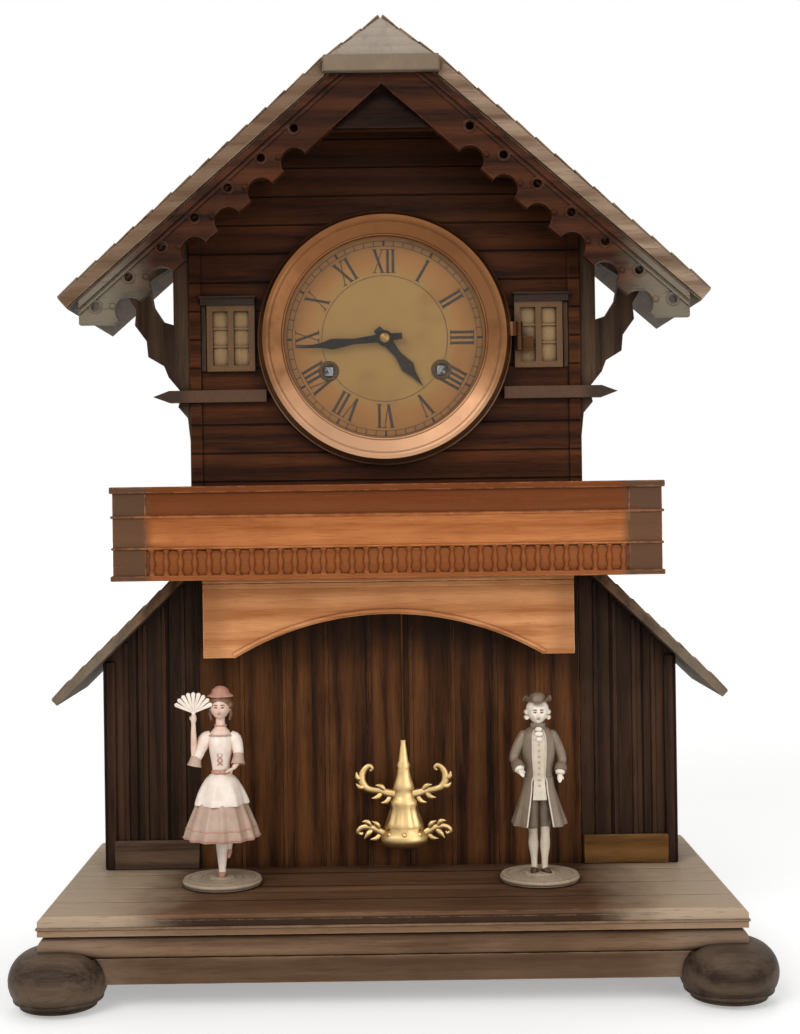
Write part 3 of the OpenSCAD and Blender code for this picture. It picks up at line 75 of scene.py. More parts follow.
SIDES = (-1, 1)

Colour = tuple[float, float, float, float]
Point = tuple[float, float, float]
Row = tuple[float, float, float, float]
Outline = Sequence[tuple[float, float]]
Socket = bpy.types.NodeSocket


class Axis(Enum):
    """Direction of a wood's grain or of a turned piece, as the column of a unit matrix."""

    X = 0
    Y = 1
    Z = 2


def shade(*levels: int) -> Colour:
    """Turns a screen colour, three levels from 0 to 255, into the shader's linear one."""
    parts = [level / 255 for level in levels]
    return (*(p / 12.92 if p <= 0.04045 else ((p + 0.055) / 1.055) ** 2.4 for p in parts), 1.0)


def scaled(colour: Colour, factor: float, lift: float = 0.0) -> Colour:
    """Gives a darker or a paler colour."""
    return (*(min(1.0, factor * part + lift) for part in colour[:3]), 1.0)


def between(first: Colour, second: Colour, share: float) -> Colour:
    """Gives the colour at a share of the way from a first to a second one."""
    return tuple((1 - share) * a + share * b for a, b in zip(first, second))


def circle(count: int) -> list[float]:
    """Gives angles in equal steps round a full turn."""
    return [FULL_TURN * k / count for k in range(count)]


def ring(radius: float, height: float, wide: float, tall: float, count: int = 8) -> Outline:
    """Gives the round section of a thin ring, as radii and heights."""
    return [(radius + wide * math.cos(a), height + tall * math.sin(a)) for a in circle(count)]


def mirrored(outline: Outline) -> Outline:
    """Gives an outline mirrored to the other side of the clock, in the opposite order."""
    return [(-x, z) for x, z in reversed(outline)]


def band(foot: float, head: float, half: float, low: float, high: float) -> Outline:
    """Gives the outline of a bar of half a width, which leans from its foot to its head."""
    return [(foot - half, low), (foot + half, low), (head + half, high), (head - half, high)]


def spun(outline: Outline, turn: float, centre: tuple[float, float]) -> Outline:
    """Gives an outline turned clockwise about its origin, which comes to a centre."""
    cos, sin = math.cos(turn), math.sin(turn)
    return [(centre[0] + x * cos + z * sin, centre[1] - x * sin + z * cos) for x, z in outline]


def flowing(rows: Sequence[Row], steps: int = 4) -> list[Row]:
    """Rounds a row of points, each with a radius, into a flowing one.

    Args:
        rows: Points that the row passes through.
        steps: Number of steps between two points.

    Returns:
        The rounded row.
    """
    ends = [rows[0], *rows, rows[-1]]
    path = []
    for k in range(len(rows) - 1):
        for t in (j / steps for j in range(steps)):
            path.append([0.5 * (2 * q + (r - p) * t + (2 * p - 5 * q + 4 * r - s) * t ** 2
                                + (3 * q - p - 3 * r + s) * t ** 3) for p, q, r, s in zip(*ends[k:k + 4])])
    return [(x, y, z, max(0.05, radius)) for x, y, z, radius in [*path, rows[-1]]]


class Sheet:
    """Node sheet of a material or of the world."""

    def __init__(self, owner: bpy.types.ID, output: str) -> None:
        """Empties the sheet.

        Args:
            owner: Material or world.
            output: Blender's name of its output node, without the prefix.
        """
        owner.use_nodes = True
        self.owner = owner
        self.tree = owner.node_tree
        self.tree.nodes.clear()
        self.surface = self.add(output, {}).inputs["Surface"]

    def plug(self, socket: Socket, value: object) -> None:
        """Links a socket to another one, or sets its value.

        Args:
            socket: Socket that takes the value.
            value: An output socket, a number or a colour.
        """
        if isinstance(value, Socket):
            self.tree.links.new(value, socket)
        else:
            socket.default_value = value

    def add(self, kind: str, inputs: dict[object, object], **settings: object) -> bpy.types.Node:
        """Adds a node.

        Args:
            kind: Blender's name of the node type, without its prefix.
            inputs: Values or sockets for the node's inputs, by name or number.
            **settings: Properties of the node.

        Returns:
            The new node.
        """
        node = self.tree.nodes.new("ShaderNode" + kind)
        for key, value in settings.items():
            setattr(node, key, value)
        for key, value in inputs.items():
            self.plug(node.inputs[key], value)
        return node

    def math(self, operation: str, *numbers: object) -> Socket:
        """Gives the result of a sum on one to three numbers."""
        return self.add("Math", dict(enumerate(numbers)), operation=operation).outputs[0]

    def times(self, first: object, second: object) -> Socket:
        """Multiplies two numbers."""
        return self.math("MULTIPLY", first, second)

    def seen(self) -> Socket:
        """Tells what the camera sees from what only lights the scene.

        Returns:
            1 where the camera looks, directly, by a mirror or through glass, and 0 elsewhere.
        """
        path = self.add("LightPath", {}).outputs
        around = self.math("MAXIMUM", path["Is Glossy Ray"], path["Is Transmission Ray"])
        return self.math("MAXIMUM", path["Is Camera Ray"], around)


class Surface(Sheet):
    """Node sheet of one finish, round a principled shader."""

    def __init__(self, name: str) -> None:
        """Starts a material.

        Args:
            name: Name of the material.
        """
        super().__init__(bpy.data.materials.new(name), "OutputMaterial")
        self.shader = self.add("BsdfPrincipled", {})
        self.plug(self.surface, self.shader.outputs["BSDF"])
        self.spot = self.add("TexCoord", {}).outputs["Object"]

    def done(self, values: dict[str, object]) -> bpy.types.Material:
        """Fills the shader's sockets.

        Args:
            values: Values or sockets for them, by name.

        Returns:
            The material.
        """
        for name, value in values.items():
            self.plug(self.shader.inputs[name], value)
        return self.owner

    def place(self, scale: Point, move: Point = (0, 0, 0)) -> Socket:
        """Gives the object's coordinates, moved and scaled."""
        return self.add("Mapping", {"Vector": self.spot, "Scale": scale, "Location": move}).outputs["Vector"]

    def along(self, axis: Axis) -> Socket:
        """Gives the place along an axis, in metres."""
        return self.add("SeparateXYZ", {0: self.spot}).outputs[axis.value]

    def noise(self, scale: float, detail: float, rough: float, vector: Optional[Socket] = None,
              twist: float = 0.0) -> Socket:
        """Gives a soft noise.

        Args:
            scale: Number of blotches per metre.
            detail: Number of finer layers.
            rough: Strength of the finer layers.
            vector: Coordinates, where they aren't the object's own.
            twist: Distortion.

        Returns:
            The noise's factor.
        """
        node = self.add("TexNoise", {"Vector": self.spot if vector is None else vector, "Scale": scale,
                                     "Detail": detail, "Roughness": rough, "Distortion": twist})
        return node.outputs["Fac"]

    def ramp(self, factor: object, stops: Sequence[tuple[float, Colour]]) -> Socket:
        """Gives a colour for a factor.

        Args:
            factor: Factor from 0 to 1.
            stops: Places and colours, in order.

        Returns:
            The ramp's colour.
        """
        node = self.add("ValToRGB", {"Fac": factor})
        points = node.color_ramp.elements
        while len(points) < len(stops):
            points.new(1.0)
        for point, (place, colour) in zip(points, stops):
            point.position, point.color = place, colour
        return node.outputs["Color"]

    def mix(self, factor: object, first: object, second: object) -> Socket:
        """Mixes two colours by the second one's share."""
        return self.add("Mix", {0: factor, 6: first, 7: second}, data_type="RGBA").outputs[2]

    def lay(self, colour: object, over: object, mask: object, share: object) -> Socket:
        """Lays a colour over another one, by a mask and at a share."""
        return self.mix(self.times(mask, share), colour, over)

    def span(self, value: object, low: float, high: float) -> Socket:
        """Gives 0 below low and 1 above high, with a smooth step between them."""
        return self.add("MapRange", {"Value": value, "From Min": low, "From Max": high},
                        interpolation_type="SMOOTHSTEP").outputs["Result"]

    def corners(self, reach: float) -> Socket:
        """Gives 1 in corners that other faces close within a reach in metres, and 0 in the open."""
        free = self.add("AmbientOcclusion", {"Distance": reach}, samples=4).outputs["AO"]
        return self.span(free, 0.9, 0.35)

    def edges(self, radius: float) -> Socket:
        """Finds sharp outer edges.

        Args:
            radius: Reach of an edge in metres.

        Returns:
            1 along the edges and 0 elsewhere.
        """
        rounded = self.add("Bevel", {"Radius": radius}, samples=4).outputs["Normal"]
        flat = self.add("NewGeometry", {}).outputs["Normal"]
        close = self.add("VectorMath", {0: rounded, 1: flat}, operation="DOT_PRODUCT").outputs["Value"]
        return self.span(close, 0.995, 0.88)

    def bump(self, height: object, distance: float, strength: float) -> Socket:
        """Gives a normal raised by a height from 0 to 1, over a distance in metres."""
        return self.add("Bump", {"Height": height, "Distance": distance,
                                 "Strength": strength}).outputs["Normal"]


@dataclass(frozen=True)
class Tint:
    """Colour that a finish takes between two places along an axis of the object, in metres."""

    axis: Axis
    low: float
    high: float
    colour: Colour
    share: float
    soft: float
    mirrored: bool = False

    def over(self, sheet: Surface, colour: Socket) -> Socket:
        """Lays the tint over a colour.

        Args:
            sheet: Node sheet of the material.
            colour: Colour under the tint.

        Returns:
            The tinted colour.
        """
        place = sheet.along(self.axis)
        if self.mirrored:
            place = sheet.math("ABSOLUTE", place)
        ragged = sheet.math("SUBTRACT", sheet.noise(45, 3, 0.6), 0.5)
        place = sheet.math("MULTIPLY_ADD", ragged, self.soft * 1.5, place)
        inside = sheet.times(sheet.span(place, self.low - self.soft, self.low + self.soft),
                             sheet.span(place, self.high + self.soft, self.high - self.soft))
        return sheet.lay(colour, self.colour, inside, self.share)


@dataclass(frozen=True)
class WoodFinish:
    """Stained and waxed wood with figure, pores, boards, painted shade in its corners and worn edges."""

    name: str
    dark: Colour
    light: Colour
    grain: Axis
    gloss: float
    worn: float
    board: float = 0.0
    board_axis: Axis = Axis.X
    tints: tuple[Tint, ...] = ()
    pieces_vary: bool = False

    def build(self) -> bpy.types.Material:
        """Makes the material.

        Returns:
            The material.
        """
        sheet = Surface(self.name)
        along = [1.0, 1.0, 1.0]
        along[self.grain.value] = 0.06
        space = sheet.place(tuple(along), (0.013, 0.027, 0.041))
        figure = sheet.noise(85, 5, 0.62, space, 0.9)
        streaks = sheet.noise(520, 4, 0.7, space, 0.4)
        rings = sheet.add("TexWave", {"Vector": space, "Scale": 26, "Distortion": 7, "Detail": 3,
                                      "Detail Scale": 1.3, "Detail Roughness": 0.6},
                          bands_direction="Z" if self.grain is Axis.X else "X").outputs["Fac"]
        tone = sheet.math("MULTIPLY_ADD", rings, 0.2, sheet.times(figure, 0.45))
        tone = sheet.math("MULTIPLY_ADD", streaks, 0.42, tone)
        colour = sheet.ramp(tone, [(0.36, self.dark), (0.53, between(self.dark, self.light, 0.55)),
                                   (0.7, self.light)])
        blotch = sheet.span(sheet.noise(17, 3, 0.6), 0.42, 0.7)
        colour = sheet.mix(blotch, colour, sheet.mix(0.45, colour, self.dark))
        pores = sheet.span(sheet.noise(1300, 3, 0.7, space), 0.56, 0.72)
        height = sheet.math("MULTIPLY_ADD", pores, -0.45, streaks)
        if self.board:
            steps = sheet.math("DIVIDE", sheet.along(self.board_axis), self.board)
            joint = sheet.span(sheet.math("PINGPONG", steps, 0.5), 0.045, 0.012)
            own = sheet.add("TexWhiteNoise", {"W": sheet.math("ROUND", steps)}, noise_dimensions="1D")
            colour = sheet.lay(colour, self.dark, own.outputs["Value"], 0.5)
            colour = sheet.lay(colour, scaled(self.dark, 0.2), joint, 0.85)
            height = sheet.math("MULTIPLY_ADD", joint, -2.4, height)
        if self.pieces_vary:
            chance = sheet.add("NewGeometry", {}).outputs["Random Per Island"]
            colour = sheet.lay(colour, self.dark, chance, 0.55)
        for tint in self.tints:
            colour = tint.over(sheet, colour)
        colour = sheet.lay(colour, self.dark, pores, 0.45)
        # Painted shade: corners that other faces close take a much darker colour.
        colour = sheet.lay(colour, scaled(self.dark, 0.25), sheet.corners(0.009), 0.75)
        rubbed = sheet.times(sheet.edges(0.0007), sheet.span(sheet.noise(120, 4, 0.65), 0.38, 0.62))
        colour = sheet.lay(colour, scaled(self.light, 1.5, 0.04), rubbed, self.worn)
        return sheet.done({"Base Color": colour, "Specular IOR Level": 0.07,
                           "Roughness": sheet.math("MULTIPLY_ADD", figure, 0.25, self.gloss - 0.1),
                           "Normal": sheet.bump(height, 0.0003, 0.8)})


@dataclass(frozen=True)
class MetalFinish:
    """Metal with tarnish in its corners, fine scratches and a brighter edge."""

    name: str
    bright: Colour
    tarnish: Colour
    rough: float
    age: float
    cast: float = 0.0
    tints: tuple[Tint, ...] = ()

    def build(self) -> bpy.types.Material:
        """Makes the material.

        Returns:
            The material.
        """
        sheet = Surface(self.name)
        cloud = sheet.noise(60, 5, 0.6)
        colour = sheet.lay(self.bright, self.tarnish, sheet.span(cloud, 0.38, 0.68), self.age)
        colour = sheet.lay(colour, self.tarnish, sheet.corners(0.004), 0.6 + 0.4 * self.age)
        for tint in self.tints:
            colour = tint.over(sheet, colour)
        bare = sheet.times(sheet.edges(0.0005), sheet.span(cloud, 0.35, 0.6))
        colour = sheet.lay(colour, self.bright, bare, 0.5)
        scratch = sheet.noise(420, 2, 0.5, sheet.place((1, 1, 14)))
        height = sheet.math("MULTIPLY_ADD", sheet.noise(700, 3, 0.6), 0.3 + self.cast,
                            sheet.times(scratch, 0.25))
        return sheet.done({"Base Color": colour, "Metallic": 1.0,
                           "Roughness": sheet.math("MULTIPLY_ADD", cloud, 0.3, self.rough - 0.1),
                           "Normal": sheet.bump(height, 0.00012, 0.6)})


@dataclass(frozen=True)
class PaintFinish:
    """Old oil paint that has crazed, with the wood showing where it is rubbed."""

    name: str
    paint: Colour
    under: Colour
    worn: float
    grime: float
    tints: tuple[Tint, ...] = ()

    def build(self) -> bpy.types.Material:
        """Makes the material.

        Returns:
            The material.
        """
        sheet = Surface(self.name)
        cloud = sheet.noise(70, 5, 0.65)
        streak = sheet.span(sheet.noise(260, 4, 0.6, sheet.place((1, 1, 0.12))), 0.5, 0.72)
        colour = sheet.mix(sheet.span(cloud, 0.35, 0.7), self.paint, scaled(self.paint, 1.2))
        colour = sheet.lay(colour, between(self.paint, self.under, 0.5), streak, self.grime)
        for tint in self.tints:
            colour = tint.over(sheet, colour)
        chips = sheet.span(sheet.noise(240, 4, 0.7), 0.64, 0.68)
        edge = sheet.times(sheet.edges(0.0009), sheet.span(cloud, 0.4, 0.56))
        bare = sheet.times(sheet.math("MAXIMUM", sheet.times(chips, 0.6), edge), self.worn)
        colour = sheet.mix(bare, colour, self.under)
        # Painted shade: corners that other faces close take a darker colour.
        colour = sheet.lay(colour, scaled(self.under, 0.4), sheet.corners(0.006), 0.8)
        crazing = sheet.add("TexVoronoi", {"Vector": sheet.spot, "Scale": 420.0}, feature="DISTANCE_TO_EDGE")
        height = sheet.math("SUBTRACT", sheet.span(crazing.outputs["Distance"], 0.0, 0.09), bare)
        return sheet.done({"Base Color": colour, "Specular IOR Level": 0.2,
                           "Roughness": sheet.math("MULTIPLY_ADD", cloud, 0.25, 0.42),
                           "Normal": sheet.bump(height, 0.00012, 0.5)})


@dataclass(frozen=True)
class BisqueFinish:
    """Unglazed or glazed porcelain with painted shade in its folds and small brown specks."""

    name: str
    body: Colour
    fold: Colour
    gloss: float = 0.42

    def build(self) -> bpy.types.Material:
        """Makes the material.

        Returns:
            The material.
        """
        sheet = Surface(self.name)
        cloud = sheet.noise(140, 4, 0.55)
        colour = sheet.mix(sheet.span(cloud, 0.35, 0.7), self.body, between(self.body, self.fold, 0.3))
        colour = sheet.lay(colour, self.fold, sheet.span(sheet.noise(1500, 2, 0.5), 0.74, 0.79), 0.35)
        # Painted shade: folds and corners take the darker fold colour.
        colour = sheet.lay(colour, self.fold, sheet.corners(0.004), 0.7)
        return sheet.done({"Base Color": colour, "Subsurface Weight": 0.12,
                           "Subsurface Radius": (0.004, 0.002, 0.001), "Subsurface Scale": 0.5,
                           "Roughness": sheet.math("MULTIPLY_ADD", cloud, 0.15, self.gloss - 0.08),
                           "Normal": sheet.bump(cloud, 0.0001, 0.4)})


@dataclass(frozen=True)
class DialFinish:
    """Aged cream dial that darkens in rings towards its rim, round a height and to a radius in metres."""

    name: str
    centre: Colour
    ring: Colour
    rim: Colour
    height: float
    radius: float

    def build(self) -> bpy.types.Material:
        """Makes the material.

        Returns:
            The material.
        """
        sheet = Surface(self.name)
        flat = sheet.place((1, 0, 1), (0, 0, -self.height))
        far = sheet.add("VectorMath", {0: flat}, operation="LENGTH").outputs["Value"]
        cloud = sheet.noise(55, 5, 0.6)
        ragged = sheet.math("MULTIPLY_ADD", sheet.math("SUBTRACT", cloud, 0.5), 0.16,
                            sheet.math("DIVIDE", far, self.radius))
        colour = sheet.ramp(ragged, [(0.0, self.centre), (0.5, self.centre), (0.66, self.ring),
                                     (0.84, self.ring), (0.97, self.rim)])
        colour = sheet.lay(colour, self.rim, sheet.span(sheet.noise(300, 4, 0.7), 0.6, 0.74), 0.4)
        colour = sheet.lay(colour, self.rim, sheet.span(cloud, 0.52, 0.72), 0.35)
        return sheet.done({"Base Color": colour, "Specular IOR Level": 0.15,
                           "Roughness": sheet.math("MULTIPLY_ADD", cloud, 0.2, 0.4),
                           "Normal": sheet.bump(sheet.noise(900, 3, 0.6), 0.00006, 0.5)})


@dataclass(frozen=True)
class GlassFinish:
    """Thin clear glass with a little dust."""

    name: str

    def build(self) -> bpy.types.Material:
        """Makes the material.

        Returns:
            The material.
        """
        sheet = Surface(self.name)
        return sheet.done({"Base Color": (0.5, 0.5, 0.46, 1.0), "Specular IOR Level": 0.25, "Alpha": 0.035,
                           "Roughness": sheet.math("MULTIPLY_ADD", sheet.noise(90, 4, 0.6), 0.1, 0.02)})


class Finishes:
    """All the clock's finishes, made once and looked up by name."""

    def __init__(self) -> None:
        """Makes every material."""
        grey_end = shade(138, 130, 112)
        wood = shade(74, 50, 34)
        every = (
            WoodFinish("feet_wood", shade(50, 38, 30), shade(106, 88, 72), Axis.X, 0.42, 0.5),
            WoodFinish("base_rail_wood", shade(84, 60, 43), shade(140, 111, 86), Axis.X, 0.45, 0.7,
                       # Painted shade: the lowest band of the rails, under their overhang, is darker.
                       tints=(Tint(Axis.Z, 0.0, 0.0235, shade(74, 54, 39), 0.6, 0.0015),
                              Tint(Axis.X, 0.125, 0.2, shade(156, 132, 112), 0.5, 0.02, True))),
            WoodFinish("stage_wood", shade(82, 56, 39), shade(140, 104, 77), Axis.X, 0.5, 0.8, 0.0277, Axis.Y,
                       (Tint(Axis.X, 0.112, 0.2, shade(206, 182, 154), 0.72, 0.022, True),
                        Tint(Axis.Z, 0.034, 0.0378, shade(146, 114, 86), 0.7, 0.0004))),
            WoodFinish("porch_wood", shade(36, 17, 6), shade(104, 64, 34), Axis.Z, 0.5, 0.4,
                       # Painted shadow: the top of the porch wall, under the balcony, is darker.
                       tints=(Tint(Axis.Z, 0.154, 0.2, shade(22, 9, 3), 0.78, 0.014),)),
            *(WoodFinish(name, shade(34, 21, 14), shade(84, 58, 41), Axis.Z, 0.5, 0.45, 0.0163, axis)
              for name, axis in (("room_wood", Axis.X), ("room_side_wood", Axis.Y))),
            WoodFinish("skirting_wood", shade(62, 45, 34), shade(112, 88, 70), Axis.X, 0.5, 0.6),
            WoodFinish("patch_wood", shade(84, 56, 26), shade(142, 100, 54), Axis.X, 0.5, 0.6),
            WoodFinish("arch_wood", shade(174, 108, 62), shade(234, 166, 112), Axis.X, 0.42, 0.6,
                       tints=(Tint(Axis.X, 0.083, 0.2, shade(150, 100, 62), 0.5, 0.006, True),)),
            WoodFinish("balcony_wood", shade(146, 80, 38), shade(202, 128, 76), Axis.X, 0.4, 0.6,
                       # Painted shade: the top band and the lower band are darker, as a cove and a downward
                       # bevel in shade would be.
                       tints=(Tint(Axis.Z, 0.2262, 0.25, shade(98, 48, 20), 0.85, 0.0006),
                              Tint(Axis.Z, 0.19, 0.2105, shade(128, 68, 32), 0.75, 0.0006),
                              Tint(Axis.X, 0.1165, 0.2, shade(88, 66, 50), 0.9, 0.0032, True))),
            WoodFinish("wall_wood", shade(34, 14, 5), shade(92, 50, 24), Axis.X, 0.5, 0.5, 0.0143, Axis.Z,
                       # Painted shadow: the top of the wall, under the roof's overhang, is darker.
                       (Tint(Axis.Z, 0.375, 0.5, shade(30, 13, 5), 0.6, 0.025),)),
            WoodFinish("wall_side_wood", shade(36, 18, 8), shade(92, 56, 30), Axis.Y, 0.5, 0.5, 0.0143,
                       Axis.Z),
            WoodFinish("roof_wood", shade(58, 38, 26), shade(118, 88, 66), Axis.Y, 0.6, 0.8,
                       tints=(Tint(Axis.X, 0.132, 0.2, grey_end, 0.5, 0.02, True),)),
            WoodFinish("shingle_wood", shade(78, 56, 40), shade(158, 128, 100), Axis.X, 0.65, 0.8,
                       tints=(Tint(Axis.X, 0.132, 0.2, grey_end, 0.45, 0.02, True),), pieces_vary=True),
            WoodFinish("verge_wood", shade(102, 78, 60), shade(162, 138, 116), Axis.X, 0.55, 0.7,
                       tints=(Tint(Axis.X, -0.2, -0.012, shade(98, 72, 52), 0.6, 0.02),)),
            WoodFinish("barge_wood", shade(30, 14, 7), shade(80, 44, 25), Axis.X, 0.5, 0.7,
                       tints=(Tint(Axis.X, 0.122, 0.2, grey_end, 0.65, 0.016, True),)),
            # The collar's near-black colour is painted shade under the clipped gable.
            WoodFinish("collar_wood_painted_shade", shade(18, 7, 3), shade(44, 21, 9), Axis.X, 0.5, 0.5),
            WoodFinish("bracket_wood", shade(34, 22, 15), shade(84, 64, 47), Axis.Z, 0.5, 0.6),
            WoodFinish("back_wood", shade(62, 42, 28), shade(112, 82, 58), Axis.X, 0.65, 0.5, 0.031, Axis.Z),
            WoodFinish("door_wood", shade(56, 37, 24), shade(104, 74, 51), Axis.Z, 0.55, 0.5),
            MetalFinish("aged_brass", shade(206, 162, 88), shade(100, 70, 34), 0.34, 0.5),
            MetalFinish("dull_brass", shade(124, 90, 48), shade(64, 44, 24), 0.45, 0.8,
                        tints=(Tint(Axis.Y, -0.05, 0.03, shade(54, 34, 20), 0.85, 0.004),)),
            MetalFinish("worn_copper_and_painted_light", shade(113, 77, 49), shade(78, 49, 28), 0.38, 0.55,
                        # Painted highlight on the bezel's lower part and painted shade on its upper part.
                        tints=(Tint(Axis.Z, 0.2, 0.284, shade(184, 142, 110), 0.75, 0.024),
                               Tint(Axis.Z, 0.344, 0.5, shade(114, 73, 44), 0.6, 0.024),
                               Tint(Axis.X, 0.0638, 0.1, shade(52, 32, 20), 0.9, 0.0003))),
            MetalFinish("gilt_casting", shade(212, 180, 126), shade(104, 72, 36), 0.34, 0.35, 0.5),
            MetalFinish("polished_steel", shade(186, 190, 194), shade(94, 92, 88), 0.28, 0.35),
            MetalFinish("blued_steel", shade(44, 46, 56), shade(24, 22, 20), 0.3, 0.4),
            MetalFinish("hand_steel", shade(38, 29, 22), shade(20, 14, 10), 0.5, 0.5),
            MetalFinish("black_iron", shade(52, 52, 54), shade(28, 26, 25), 0.5, 0.6, 0.6),
            PaintFinish("hip_paint", shade(150, 137, 122), shade(104, 86, 68), 0.5, 0.5),
            PaintFinish("fascia_paint", shade(118, 101, 83), shade(112, 90, 70), 0.5, 0.45),
            PaintFinish("frame_paint", shade(96, 69, 43), wood, 0.6, 0.6),
            PaintFinish("bar_paint", shade(126, 98, 66), wood, 0.5, 0.6),
            PaintFinish("curtain_paint", shade(142, 114, 78), wood, 0.3, 0.7),
            PaintFinish("sill_paint", shade(78, 53, 36), wood, 0.6, 0.7,
                        # Painted shadow: the course above the windows is near black.
                        (Tint(Axis.Z, 0.3312, 0.36, shade(36, 20, 10), 0.96, 0.0003),
                         Tint(Axis.X, 0.1, 0.2, shade(46, 31, 21), 0.85, 0.004, True))),
            # Painted shadow: near-black paint for the hoods over the windows.
            PaintFinish("lintel_painted_shadow", shade(40, 23, 13), shade(78, 50, 31), 0.4, 0.4),
            PaintFinish("numeral_paint", shade(46, 32, 18), shade(90, 68, 40), 0.25, 0.2),
            PaintFinish("disc_paint", shade(176, 157, 134), shade(112, 88, 67), 0.5, 0.6),
            BisqueFinish("lady_bisque", shade(255, 240, 226), shade(206, 168, 144)),
            BisqueFinish("lady_skin", shade(240, 208, 188), shade(190, 142, 120)),
            BisqueFinish("lady_skirt_bisque", shade(194, 164, 144), shade(144, 108, 88)),
            BisqueFinish("lady_trim", shade(206, 150, 130), shade(150, 96, 76), 0.3),
            BisqueFinish("lady_hair", shade(126, 86, 60), shade(80, 52, 34), 0.4),
            BisqueFinish("gentleman_bisque", shade(252, 240, 224), shade(196, 172, 148)),
            BisqueFinish("gentleman_coat", shade(136, 117, 97), shade(86, 70, 56), 0.4),
            BisqueFinish("gentleman_legs", shade(224, 210, 190), shade(160, 138, 114)),
            BisqueFinish("figure_dark", shade(84, 62, 46), shade(50, 36, 27), 0.35),
            DialFinish("dial_face", shade(152, 116, 60), shade(152, 101, 44), shade(116, 75, 32), 0.314,
                       0.06),
            GlassFinish("clear_glass"),
        )
        self.made = {finish.name: finish.build() for finish in every}

    def __getitem__(self, name: str) -> bpy.types.Material:
        """Gives a finish's material by name."""
        return self.made[name]


